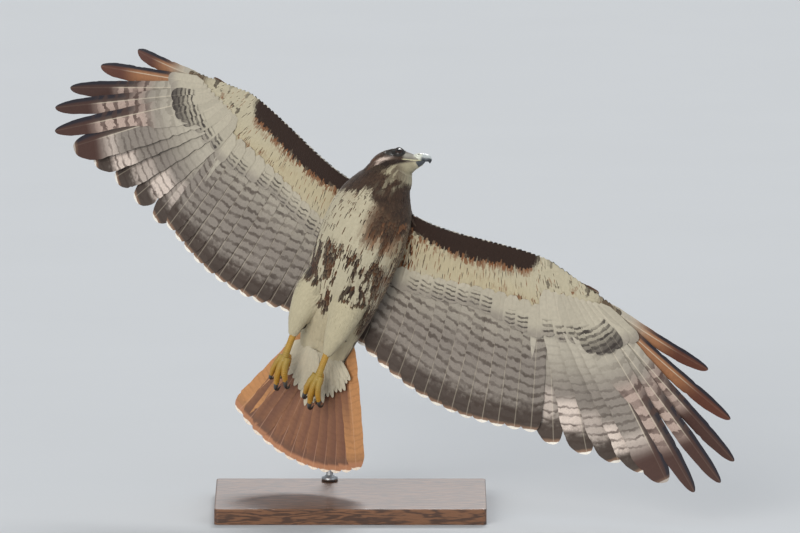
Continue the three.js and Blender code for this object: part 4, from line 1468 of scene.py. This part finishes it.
def steelMaterial():
    material, w, shader = newMaterial("rod_steel")
    brushed = w.noise(260.0, 3.0, stretch=(9.0, 9.0, 0.25))
    w.put(shader["Base Color"], w.mix(brushed, tone("#8d9195"), tone("#c3c6c8")))
    w.put(shader["Roughness"], w.calc("MULTIPLY_ADD", brushed, 0.3, 0.18))
    w.put(shader["Normal"], raised(w, brushed, 0.00005, 0.4))
    shader["Metallic"].default_value = 1.0
    return material


# Tones and measures (mm from the tip) of the wing's and the tail's large feathers
wingTones = {"Band": tone("#3d2f27"), "Tan": tone("#8c6f5a"), "Rim": tone("#f7f1e6"),
             "Shaft": tone("#d6cab4"), "Top": tone("#6a5240"), "Top Ink": tone("#3a2a20")}
wingMarking = {"Band From": 33.0, "Tan From": 7.0, "Ragged": 34.0}
tailTones = {"Band": tone("#705344"), "Tan": tone("#b98260"), "Rim": tone("#fbeedd"),
             "Shaft": tone("#d9ab8c"), "Top": tone("#a4552c"), "Top Ink": tone("#5f2f1a")}
tailMarking = {"Band From": 18.0, "Tan From": 11.0, "Ragged": 7.0}
look = {
    "body": coatMaterial("body_plumage", tone("#c4ae88")),
    "wing": coatMaterial("wing_plumage", tone("#d5c4a2")),
    "head": coatMaterial("head_plumage", tone("#a58769")),
    "flight": flightMaterial("flight_feathers", wingTones, wingMarking),
    "tail": flightMaterial("tail_feathers", tailTones, tailMarking),
    "skin": hardMaterial("skin", 700.0, 0.35, 0.0, 0.0002),
    "bill": hardMaterial("bill_horn", 900.0, 0.25, 0.35, 0.00008),
    "leg": hardMaterial("scaled_skin", 1500.0, 0.5, 0.1, 0.00012),
    "claw": hardMaterial("claw_horn", 1200.0, 0.3, 0.5, 0.00005),
    "eye": eyeMaterial(),
    "wood": woodMaterial(),
    "steel": steelMaterial(),
}
skinMesh.materials.clear()
skinMesh.materials.append(look["skin"])
fleshNodes = ["trunk", "neck", "head", "thigh_left", "thigh_right"]
fleshNodes += [f"wing_{word}_{part}" for word in ("left", "right") for part in ("arm", "hand")]
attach(skin, "root")
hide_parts(*fleshNodes)
print("materials ready")


# Places for the small feathers: rings of staggered rows round a form of the body
def ringLattice(centres, sizes, stepAlong, stepAround, grow, seed, matrix=None, forward=-1):
    rng = np.random.default_rng(seed)
    fine = along(centres, np.linspace(0, 1, 200))
    rows = int(np.linalg.norm(np.diff(fine, axis=0), axis=1).sum() / stepAlong)
    ts, angles = [], []
    for i in range(rows):
        t = (i + 0.5) / rows
        w, h, d = along(sizes, np.array([t]), 0.4)[0]
        m = max(6, int(np.pi * (w + (h + d) / 2) / stepAround))
        angles.append((np.arange(m) + 0.5 * (i % 2) + rng.uniform(-0.22, 0.22, m)) * 2 * np.pi / m)
        ts.append(t + rng.uniform(-0.25, 0.25, m) / rows)
    t, angle = np.clip(np.concatenate(ts), 0, 1), np.concatenate(angles)
    middle = along(centres, t)
    ahead = unit(along(centres, t + 0.004) - along(centres, t - 0.004))
    side = unit(np.cross(np.array((0, 0, 1.0)), ahead))
    over = np.cross(ahead, side)
    size = along(sizes, t, 0.4) + grow
    rise = np.sin(angle)
    tall = rise * np.where(rise > 0, size[:, 1], size[:, 2])
    points = middle + (np.cos(angle) * size[:, 0])[:, None] * side + tall[:, None] * over
    lie = forward * ahead
    if matrix is not None:
        points, lie = moved(points, matrix), turnedOnly(lie, matrix)
    uv = np.stack([0.01 + 0.97 * (angle / (2 * np.pi) % 1), 0.01 + 0.97 * t], 1)
    return points, lie, uv, rng.uniform(0, 1, len(t))


def chosen(data, mask):
    return {key: value[mask] for key, value in data.items()}


softVane = smallVane("vane_soft", 0.74)
pointedVane = smallVane("vane_pointed", 0.55)

# Spacing of the follicles, length of the feathers, their half width as a share of it, and how far
# the tips stand off the skin, in mm
coatSizes = {
    "trunk": {"along": 4.1, "around": 3.7, "length": (20, 34), "width": 0.21, "clear": (1.5, 1.8)},
    "neck": {"along": 2.4, "around": 2.7, "length": (16, 12), "width": 0.21, "clear": (1.6, 2.1)},
    "head": {"along": 1.5, "around": 1.6, "length": (9.5, 2.9), "width": 0.26, "clear": (0.7, 1.0)},
    "thigh": {"along": 3.4, "around": 2.7, "length": (20, 13), "width": 0.2, "clear": (1.4, 1.7)},
    "wing": {"along": 3.7, "across": 3.3, "length": (9, 20), "width": (0.42, 0.25),
             "clear": (0.9, 1.15)},
}


def bodyCoat(key, centres, sizes, seed, lengthAt, matrix=None, forward=-1, maxGap=4.0):
    size = coatSizes[key]
    grow = -coatDepth[key] * (0.8 if key == "trunk" else 1)
    points, lie, uv, luck = ringLattice(
        centres, sizes, size["along"], size["around"], grow, seed, matrix, forward)
    length = lengthAt(points) * (0.94 + 0.12 * ((luck * 13) % 1))
    clear = lerp(*size["clear"], (luck * 5) % 1)
    return follicles(points, lie, length, length * size["width"], clear, uv, luck, maxGap)


def finished(piece, *replaced, slot="plumage"):
    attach(piece, "root")
    if replaced:
        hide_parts(*replaced)
    return piece


trunkLengths = coatSizes["trunk"]["length"]
trunkCoat = bodyCoat("trunk", body["trunk"], body["trunkSizes"], 11,
                     lambda p: lerp(*trunkLengths, smooth(-p[:, 0], 90, 230)))
trunkCoat = chosen(trunkCoat, trunkCoat["points"][:, 0] > -216)
belly = trunkCoat["normals"][:, 2] < 0.15
finished(coat("coat_breast", chosen(trunkCoat, belly), softVane, look["body"], 0.04))
finished(coat("coat_back", chosen(trunkCoat, ~belly), softVane, look["body"], 0.04))
neckCoat = bodyCoat("neck", body["neck"], body["neckSizes"], 12,
                    lambda p: lerp(*coatSizes["neck"]["length"], smooth(p[:, 0], 60, 115)))
finished(coat("coat_neck", neckCoat, pointedVane, look["body"], 0.06))


def headLength(p):
    q = moved(p, headInverse)
    near = np.hypot(q[:, 0] - eyeSize["x"], q[:, 2] - eyeSize["z"])
    length = lerp(*coatSizes["head"]["length"], smooth(q[:, 0], -30, 17))
    return np.where(np.abs(q[:, 1]) > 6, length * (1 - 0.4 * bump(near, 8, 6)), length)


headCoat = bodyCoat("head", body["head"], body["headSizes"], 13, headLength, headMatrix, maxGap=3.2)
q = moved(headCoat["points"], headInverse)
clearOfEyes = np.ones(len(q), bool)
for side in (1, -1):
    fromEye = q - np.array([eyeSize["x"], side * eyeSize["y"], eyeSize["z"]])
    angle = np.degrees(np.arccos(np.clip(unit(fromEye) @ eyeAxis(side), -1, 1)))
    close = np.linalg.norm(fromEye, axis=1) < 16
    clearOfEyes &= ~(close & (angle < skinSizes["lidOpening"] + 13))
headCoat = chosen(headCoat, clearOfEyes & (q[:, 0] < 29.5))
finished(coat("coat_head", headCoat, pointedVane, look["head"], 0.06))
thighLengths = coatSizes["thigh"]["length"]
thighData = [bodyCoat("thigh", mirrored(body["thigh"], side), body["thighSizes"], 14 + side,
                      lambda p: lerp(*thighLengths, smooth(-p[:, 0], 90, 150)), forward=1)
             for side in (1, -1)]
thighCoat = {key: np.concatenate([d[key] for d in thighData]) for key in thighData[0]}
thighCoat = chosen(thighCoat, thighCoat["points"][:, 0] > -151)
finished(coat("coat_thighs", thighCoat, pointedVane, look["body"], 0.05))


# Small coverts on both faces of each wing, in staggered rows that turn outwards on the hand
def wingFollicles(side, under, seed):
    size = coatSizes["wing"]
    rng = np.random.default_rng(seed)
    xs, ss = [], []
    for i, s in enumerate(np.arange(42, 384, size["along"])):
        front, rear = leadingEdge(s) - 2.4, fleshRear(s) + (8 if under else 4)
        count = max(3, int((front - rear) / size["across"]))
        share = (np.arange(count) + 0.5 * (i % 2)) / count
        xs.append(lerp(front, rear, share) + rng.uniform(-0.7, 0.7, count))
        ss.append(np.full(count, s) + rng.uniform(-0.8, 0.8, count))
    x, s = np.concatenate(xs), np.concatenate(ss)
    x = np.minimum(x, leadingEdge(s) - 2.4)
    luck = rng.uniform(0, 1, len(x))
    face = -1 if under else 1

    def surfaceHeight(x, s):
        share = np.clip((leadingEdge(s) - x) / (leadingEdge(s) - fleshRear(s)), 0, 1)
        thick = fleshDepth(s) * 1.9 * (np.sqrt(share) - share) + 2.2 * share
        return np.maximum(thick / 2 - coatDepth["wing"] * 0.7, 0.5)

    depth = smooth(leadingEdge(s) - x, 0, 42)
    length = lerp(*size["length"], depth) * (0.93 + 0.14 * ((luck * 13) % 1))
    length = length * lerp(1, 0.8, smooth(s, 280, 380))
    heading = np.radians(lerp(3, 46, smooth(s, 110, 370)) + 6 * (luck - 0.5))
    clear = lerp(*size["clear"], (luck * 5) % 1) * lerp(0.7, 1, depth)
    tipX, tipS = x - np.cos(heading) * length, s + np.sin(heading) * length
    roots = wingPoint(side, x, s, face * (surfaceHeight(x, s) - 0.3))
    ahead = unit(wingPoint(side, tipX, tipS, face * (surfaceHeight(tipX, tipS) + clear)) - roots)
    slope = slopeAt(s)
    normals = face * np.stack([0 * s, -side * np.sin(slope), np.cos(slope)], 1)
    ground, ink, marks = (paintUnderwing if under else paintUpperwing)(x - 0.35 * length, s, luck)
    uv = np.stack([0.01 + 0.97 * (s - 40) / 350, 0.01 + 0.97 * (x + 40) / 145], 1)
    return {
        "points": roots, "ahead": ahead, "normals": normals, "luck": luck,
        "uv": np.clip(uv, 0.002, 0.99),
        "size": np.stack([length, length * lerp(*size["width"], depth), length], 1),
        "ground": ground, "ink": ink, "marks": marks,
    }


for word, side in (("left", 1), ("right", -1)):
    for face, under in (("under", True), ("upper", False)):
        data = wingFollicles(side, under, 20 + side + 4 * under)
        finished(coat(f"coverts_{word}_{face}", data, softVane, look["wing"], 0.05))


# Large feathers: painters first, then one piece for each group
# Where the dark part of the outer primaries starts and is full, in mm from the tip
darkTips = {4: (72, 38), 5: (92, 56), 6: (98, 66), 7: (116, 88), 8: (104, 50), 9: (90, 42)}


def paintFlight(spec, grid):
    tones = flightTones
    u, toTip, fromRoot = grid["u"], grid["toTip"], grid["fromRoot"]
    n = len(u)
    i = spec["index"]
    ground = np.tile(tones["ground"], (n, 1))
    ink = np.tile(tones["ink"], (n, 1))
    bars, band, rim, shaft = np.full(n, 0.85), np.ones(n), np.ones(n), np.full(n, 0.25)
    # mm between the bars, height of the wave that they start at, and their softness
    shape = (13 + 2 * ((i * 0.61) % 1), 0.1, 0.7)
    outer = smooth(u, -0.02, 0.12)
    if spec["kind"] == "secondary":
        ground = mixed(ground, tones["paleBase"], 0.6 * (1 - smooth(fromRoot, 70, 130)))
    if spec["kind"] == "primary":
        shape = (12.5, 0.4, 0.45)
        ground = mixed(ground, tones["paleBase"], 1 - smooth(fromRoot, 90, 170))
        # Painted light: the inner vane of each inner primary, where no neighbour lies over it, is
        # painted paler and pinker, like light shining through it from behind.
        paintedBacklight = smooth(toTip, 28, 36) * (1 - smooth(toTip, 70, 88)) * (1 - 0.6 * outer) * (i < 5)
        paintedBacklight = paintedBacklight * (0.95 if i in (1, 3) else 0.55)
        ground = mixed(ground, tones["paintedBacklight"], paintedBacklight)
        ink = mixed(ink, tones["webInk"], 0.5 * paintedBacklight)
        bars = 0.15 + 0.5 * smooth(fromRoot, 110, 185) + 0.15 * paintedBacklight
        if i >= 5:
            shape = (21, 0.1, 0.35)
            web = (1 - smooth(toTip, 158, 190)) * (i < 8)
            ground = mixed(ground, tones["pinkWeb"], web)
            ink = mixed(ink, tones["webInk"], web)
            bars = 0.3 + 0.62 * web
        if i >= 4:
            dark = smooth(-toTip, -darkTips[i][0], -darkTips[i][1])
            ground = mixed(ground, tones["outerVane"], outer * smooth(-toTip, -185, -130) * (i < 8))
            if i >= 8:
                ground = mixed(ground, tones["centre"], 0.9 * smooth(fromRoot, 50, 100))
                bars = bars * 0.35
            ground = mixed(ground, tones["redTip" if i >= 8 else "finger"], dark)
            edgeFrom = smooth(fromRoot, 60, 110) if i >= 8 else smooth(-toTip, -165, -110)
            ground = mixed(ground, tones["edge"], smooth(u, 0.25, 0.6) * edgeFrom)
            band, rim = band * 0, rim * (0.35 if i == 4 else 0)
            bars = bars * (1 - dark)
            shaft = 0.55 * (1 - 0.92 * dark)
    if spec["kind"] == "rectrix":
        outermost = 0.85 * smooth(abs(spec["share"]), 0.85, 0.98)
        innerVane = smooth(-u * np.sign(spec["share"]), 0, 0.4) * smooth(toTip, 20, 120)
        ground = np.tile(tones["tail"], (n, 1))
        ground = mixed(ground, tones["tailOuter"], outermost * (1 - innerVane))
        ground = mixed(ground, tones["tailOuter"], 0.2 * np.abs(u) ** 2)
        ink = np.tile(tones["tailInk"], (n, 1))
        shape = (9, 0.3, 0.7)
        bars, band, shaft = np.full(n, 0.2), np.full(n, 0.7 * (1 - 0.6 * outermost)), np.full(n, 0.3)
    if spec["kind"] == "alula":
        ground = np.tile(plumage["wingBrown"], (n, 1))
        bars, band, rim = bars * 0, band * 0, rim * 0
    if spec["kind"] == "underCovert":
        ground = np.tile(mixed(tones["paleBase"], plumage["cream"], 0.3), (n, 1))
        ground = mixed(ground, tones["ground"], 0.75 * smooth(-toTip, -22, -2))
        ink = np.tile(tones["bar"], (n, 1))
        band, rim, shaft = band * 0, rim * 0, shaft * 0.4
        middle = 1 - smooth(np.abs(u), 0.6, 0.85)
        if spec["hand"]:
            comma = i in (3, 4, 5, 6)
            dusk = (0, 0, 0.1, 0.5, 0.75, 0.95, 0.95, 0, 0)[i]
            ground = mixed(ground, tones["comma"], dusk * smooth(-toTip, -42, -5))
            shape = (8.6, 0.0, 0.35)
            bars = 0.95 * (toTip < (44 if comma else 26)) * (i < 7) * (middle if i < 3 else 1)
        else:
            shape = (6.6, 0.15, 0.4)
            bars = 0.85 * spec["barred"] * (toTip < 24) * (toTip > 2) * middle
    if spec["kind"] == "upperCovert":
        band, rim, bars = band * 0.3, rim * 0, bars * 0.2
    if spec["kind"] == "tailCovert":
        ground = np.tile(plumage["tailCovert"], (n, 1))
        bars, band, rim, shaft = bars * 0, band * 0, rim * 0, shaft * 0
    if spec["kind"] == "rumpCovert":
        ground = np.tile(mixed(plumage["brown"], plumage["cream"], spec["pale"]), (n, 1))
        ink = np.tile(plumage["darkBrown"], (n, 1))
        bars, band, rim = bars * 0.6, band * 0, rim * 0
    marks = np.stack([bars, band, rim], 1)
    return ground, ink, marks, np.tile(shape, (n, 1)), shaft


def largeFeathers(name, specs, material, seed):
    rng = np.random.default_rng(seed)
    parts, rows, uvs, normals = [], [], [], []
    for i, spec in enumerate(specs):
        points, faces, grid = flightFeather(spec, rng.uniform())
        parts.append((points, faces))
        normals.append(grid["normal"])
        ground, ink, marks, shape, shaft = paintFlight(spec, grid)
        above = np.full(len(points), spec["above"]) if "above" in spec else grid["above"]
        vane = np.stack([grid["u"], grid["fromRoot"], grid["toTip"]], 1)
        cast = np.stack([grid["lateral"], grid["luck"], above], 1)
        rows.append((ground, ink, marks, vane, cast, shape, shaft[:, None]))
        across = (i + 0.06 + 0.88 * (grid["u"] + 1) / 2) / len(specs)
        up = 0.01 + 0.48 * grid["fromRoot"] / spec["length"] + 0.5 * grid["above"]
        uvs.append(np.stack([across, up], 1))
    points, faces = joined(parts)
    mesh = meshOf(name, points, faces)
    for k, (key, kind) in enumerate((("ground", "FLOAT_COLOR"), ("ink", "FLOAT_COLOR"),
                                     ("marks", "FLOAT_VECTOR"), ("vane", "FLOAT_VECTOR"),
                                     ("cast", "FLOAT_VECTOR"), ("barShape", "FLOAT_VECTOR"),
                                     ("shaftLook", "FLOAT"))):
        setAttribute(mesh, key, kind, np.vstack([r[k] for r in rows]))
    mapUv(mesh, np.vstack(uvs))
    tidy(mesh)
    shadedLike(mesh, turnedOnly(np.vstack(normals), hangMatrix), 0.95)
    print(name + ":", len(specs), "feathers,", len(mesh.polygons), "faces")
    return place(name, mesh, material)


def lineSpec(base, start, end, **extra):
    angle = math.radians(base["heading"])
    root = (base["root"][0] - math.cos(angle) * start, base["root"][1] + math.sin(angle) * start)
    spec = {"side": base["side"], "surface": base["surface"], "root": root, "heading": base["heading"],
            "length": end - start, "index": base["index"], "rows": 16}
    spec.update(extra)
    return spec


# How far the greater coverts of the hand reach along their primaries, innermost first
underReach = (86, 90, 92, 106, 107, 104, 98, 92, 92, 88)


def greatCoverts(side, under):
    specs = []
    face = -1 if under else 1
    kind = "underCovert" if under else "upperCovert"
    shared = {"kind": kind, "cup": 0, "tilt": 0.035, "above": 1.0 - under}
    for i, base in enumerate(primarySpecs(side)):
        end = underReach[i] if under else lerp(104, 84, i / 9)
        if i < 9:
            specs.append(lineSpec(base, 18, end, outer=10, inner=12, round=0.82, hand=True, barred=1,
                                  height=face * lerp(3.4, 2.4, i / 9),
                                  lift=base["lift"] * (end / base["length"]) ** 2, **shared))
    for i, base in enumerate(secondarySpecs(side)):
        s = base["root"][1]
        start = (base["root"][0] - fleshRear(s)) * 0.72
        end = base["root"][0] - (min(-20, fleshRear(s) - 16) if under else lerp(-52, -70, i / 12))
        specs.append(lineSpec(base, start, end, outer=11, inner=14, round=0.84, hand=False,
                              barred=(i * 0.37) % 1 > 0.2, height=face * 2.9, **shared))
        if not under:
            specs.append(lineSpec(base, start * 0.6, end - 26, outer=10, inner=12, round=0.84,
                                  hand=False, barred=1, height=4.1, **shared))
    return specs


# How far the undertail coverts reach from the vent, by the angle of each
ventReach = ((0, 22, 45, 70), (104, 86, 78, 62))
vent = (-156, 2)
rump = (-136, 1)


def tailCoverts():
    under, over = [], []
    for layer, (reach, count) in enumerate(((1.0, 21), (0.9, 20), (0.8, 19), (0.7, 17), (0.58, 15))):
        for i in range(count):
            share = 2 * i / (count - 1) - 1
            angle = 58 * share
            length = np.interp(abs(angle), *ventReach) * (reach - 0.09 * ((0.618 * i + 0.3 * layer) % 1))
            start = 12 + 10 * abs(share)
            turn = math.radians(angle)
            root = (vent[0] - start * math.cos(turn), vent[1] + start * math.sin(turn))
            depth = lerp(-31, -14, abs(share) ** 1.5) - 0.9 * layer
            under.append({
                "kind": "tailCovert", "index": i, "side": 1, "surface": tailPoint, "above": 0.0,
                "root": root, "heading": angle + 2, "length": float(length) - start,
                "outer": 6.5, "inner": 6.5, "round": 0.36, "height": depth,
                "rise": (-9 - depth - 0.9 * layer) * reach, "tilt": 0.0, "cup": -1.5, "rows": 14,
            })
    for layer in range(3):
        for i in range(9):
            share = i / 4 - 1
            over.append({
                "kind": "rumpCovert", "index": i, "side": 1, "surface": tailPoint, "above": 0.0,
                "root": (rump[0] + 6 * layer, rump[1] + share * 19), "heading": 4 + share * 15,
                "pale": 0.5 * (layer == 0),
                "length": 118 - 21 * layer + 4 * (i % 2), "outer": 10, "inner": 10, "round": 0.8,
                "height": 2.6 + 2.0 * layer + 0.4 * (i % 2), "tilt": 0.0, "cup": 1, "rows": 14,
            })
    return under, over


for word, side in (("left", 1), ("right", -1)):
    name = f"wing_{word}_"
    hand = largeFeathers(f"primary_feathers_{word}", primarySpecs(side), look["flight"], 40 + side)
    finished(hand, name + "primaries")
    arm = largeFeathers(f"secondary_feathers_{word}", secondarySpecs(side), look["flight"], 43 + side)
    finished(arm, name + "secondaries")
    thumb = largeFeathers(f"alula_feathers_{word}", alulaSpecs(side), look["flight"], 46 + side)
    finished(thumb, name + "alula")
    for face, under in (("under", True), ("upper", False)):
        specs = greatCoverts(side, under)
        seed = 50 + side + 4 * under
        finished(largeFeathers(f"great_coverts_{word}_{face}", specs, look["flight"], seed))
finished(largeFeathers("tail_fan", rectrixSpecs(), look["tail"], 60), "tail")
ventSpecs, rumpSpecs = tailCoverts()
finished(largeFeathers("undertail_coverts", ventSpecs, look["flight"], 61))
finished(largeFeathers("uppertail_coverts", rumpSpecs, look["flight"], 62))

# Eyes, bill, legs and claws in place of their solids
for word, side in (("left", 1), ("right", -1)):
    finished(place(f"eyeball_{word}", eyeball(side), look["eye"]), f"eye_{word}", slot="eye")
    finished(place(f"scaled_leg_{word}", scaledLeg(side), look["leg"]),
             f"shank_{word}", f"foot_{word}", slot="leg")
    for toe in toes + [hindToe]:
        line = hindLine(side)[1] if toe["name"] == "hind" else toeLine(side, toe)[1]
        hook = place(f"talon_{word}_{toe['name']}", hookMesh(line, toe["radius"]), look["claw"])
        finished(hook, f"claw_{word}_{toe['name']}", slot="claw")
finished(place("bill_hooked_half", upperBill(), look["bill"]), "bill_upper", slot="bill")
finished(place("bill_lower_half", lowerBill(), look["bill"]), "bill_lower", slot="bill")
for helper in (softVane, pointedVane):
    bpy.data.objects.remove(helper)
print("bird finished")

# Stand: a bevelled slab in place of the plain one, a collar at the foot, and the rod
standSizes = {"edge": 0.0022, "corner": 0.006, "collarRadius": 0.0115, "collarHeight": 0.009}


def slabMesh():
    low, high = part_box("stand_base")
    bm = bmesh.new()
    bmesh.ops.create_cube(bm, size=1)
    middle = (low + high) / 2
    for v in bm.verts:
        v.co = Vector(middle[k] + v.co[k] * (high[k] - low[k]) for k in range(3))
    upright = [e for e in bm.edges if abs(e.verts[0].co.z - e.verts[1].co.z) > 0.01]
    bmesh.ops.bevel(bm, geom=upright, offset=standSizes["corner"], segments=8,
                    affect="EDGES", profile=0.5)
    top = [e for e in bm.edges if min(e.verts[0].co.z, e.verts[1].co.z) > high.z - 1e-5]
    bmesh.ops.bevel(bm, geom=top, offset=standSizes["edge"], segments=5, affect="EDGES", profile=0.6)
    mesh = bpy.data.meshes.new("slab")
    bm.to_mesh(mesh)
    bm.free()
    return mesh


def collarMesh():
    low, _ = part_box("stand_rod")
    foot = [v.co for v in nodes["stand_rod"].data.vertices if v.co.z < low.z + 0.002]
    x, y = (sum(c[k] for c in foot) / len(foot) for k in (0, 1))
    rows = [(0.0, 0.0), (1.0, 0.0), (1.0, 0.55), (0.93, 0.72), (0.62, 0.8), (0.56, 1.0), (0.0, 1.0)]
    around = 48
    points = []
    for r, z in rows[1:-1]:
        for k in range(around):
            a = 2 * math.pi * k / around
            radius = r * standSizes["collarRadius"]
            points.append((x + radius * math.cos(a), y + radius * math.sin(a),
                           low.z + z * standSizes["collarHeight"]))
    points += [(x, y, low.z), (x, y, low.z + standSizes["collarHeight"])]
    mesh = meshOf("collar", np.array(points), ringFaces(len(rows) - 2, around), None)
    tidy(mesh)
    return mesh


slab = finished(place("stand_slab", slabMesh(), look["wood"]), "stand_base", slot="base_wood")
finished(place("stand_collar", collarMesh(), look["steel"]), slot="rod_steel")
rod = nodes["stand_rod"]
rod.data.materials.clear()
rod.data.materials.append(look["steel"])
print("stand finished")

# Floor, lights and camera
studio = {
    "floorRadius": 90,
    "floor": tone("#c9cccf"),
    "world": tone("#e4e8ec"),
    "worldStrength": 0.55,
    "target": (0.0692, -0.008, 0.345),
    "distance": 20,
    "elevation": 8,
    "viewWidth": 1.12,  # metres across the picture at the target
}


def floorMesh():
    bm = bmesh.new()
    bmesh.ops.create_circle(bm, cap_ends=True, segments=96, radius=studio["floorRadius"])
    for v in bm.verts:
        v.co.z = cadLow.z - 0.0004
    mesh = bpy.data.meshes.new("floor")
    bm.to_mesh(mesh)
    bm.free()
    return mesh


floorMaterial, w, shader = newMaterial("studio_floor")
w.put(shader["Base Color"], w.mix(w.noise(3.0, 4.0), studio["floor"], studio["floor"] * 0.96))
shader["Roughness"].default_value = 0.9
place("studio_floor", floorMesh(), floorMaterial)
world = bpy.data.worlds.new("studio")
scene.world = world
world.use_nodes = True
background = world.node_tree.nodes["Background"]
background.inputs["Color"].default_value = (*studio["world"], 1)
background.inputs["Strength"].default_value = studio["worldStrength"]


def softLight(name, source, power, angle, color=(1, 1, 1)):
    light = bpy.data.lights.new(name, "SUN")
    light.angle = math.radians(angle)
    light.energy = power
    light.color = color
    lamp = bpy.data.objects.new(name, light)
    lamp.location = source
    lamp.rotation_euler = (-Vector(source)).to_track_quat("-Z", "Y").to_euler()
    scene.collection.objects.link(lamp)


softLight("key", (-1.3, -2.6, 1.0), 1.65, 36, (1.0, 0.97, 0.92))
softLight("fill", (2.4, -2.0, 0.8), 0.5, 50, (0.93, 0.96, 1.0))
softLight("above", (0.3, 2.4, 1.9), 1.7, 20)
camera = bpy.data.objects.new("camera", bpy.data.cameras.new("camera"))
scene.collection.objects.link(camera)
lean = math.radians(studio["elevation"])
away = Vector((0, -math.cos(lean), math.sin(lean))) * studio["distance"]
camera.location = Vector(studio["target"]) + away
camera.rotation_euler = (math.pi / 2 - lean, 0, 0)
camera.data.sensor_width = 36
camera.data.lens = 36 * studio["distance"] / studio["viewWidth"]
camera.data.clip_end = 400
scene.camera = camera
scene.view_settings.view_transform = "Standard"
print("studio ready")
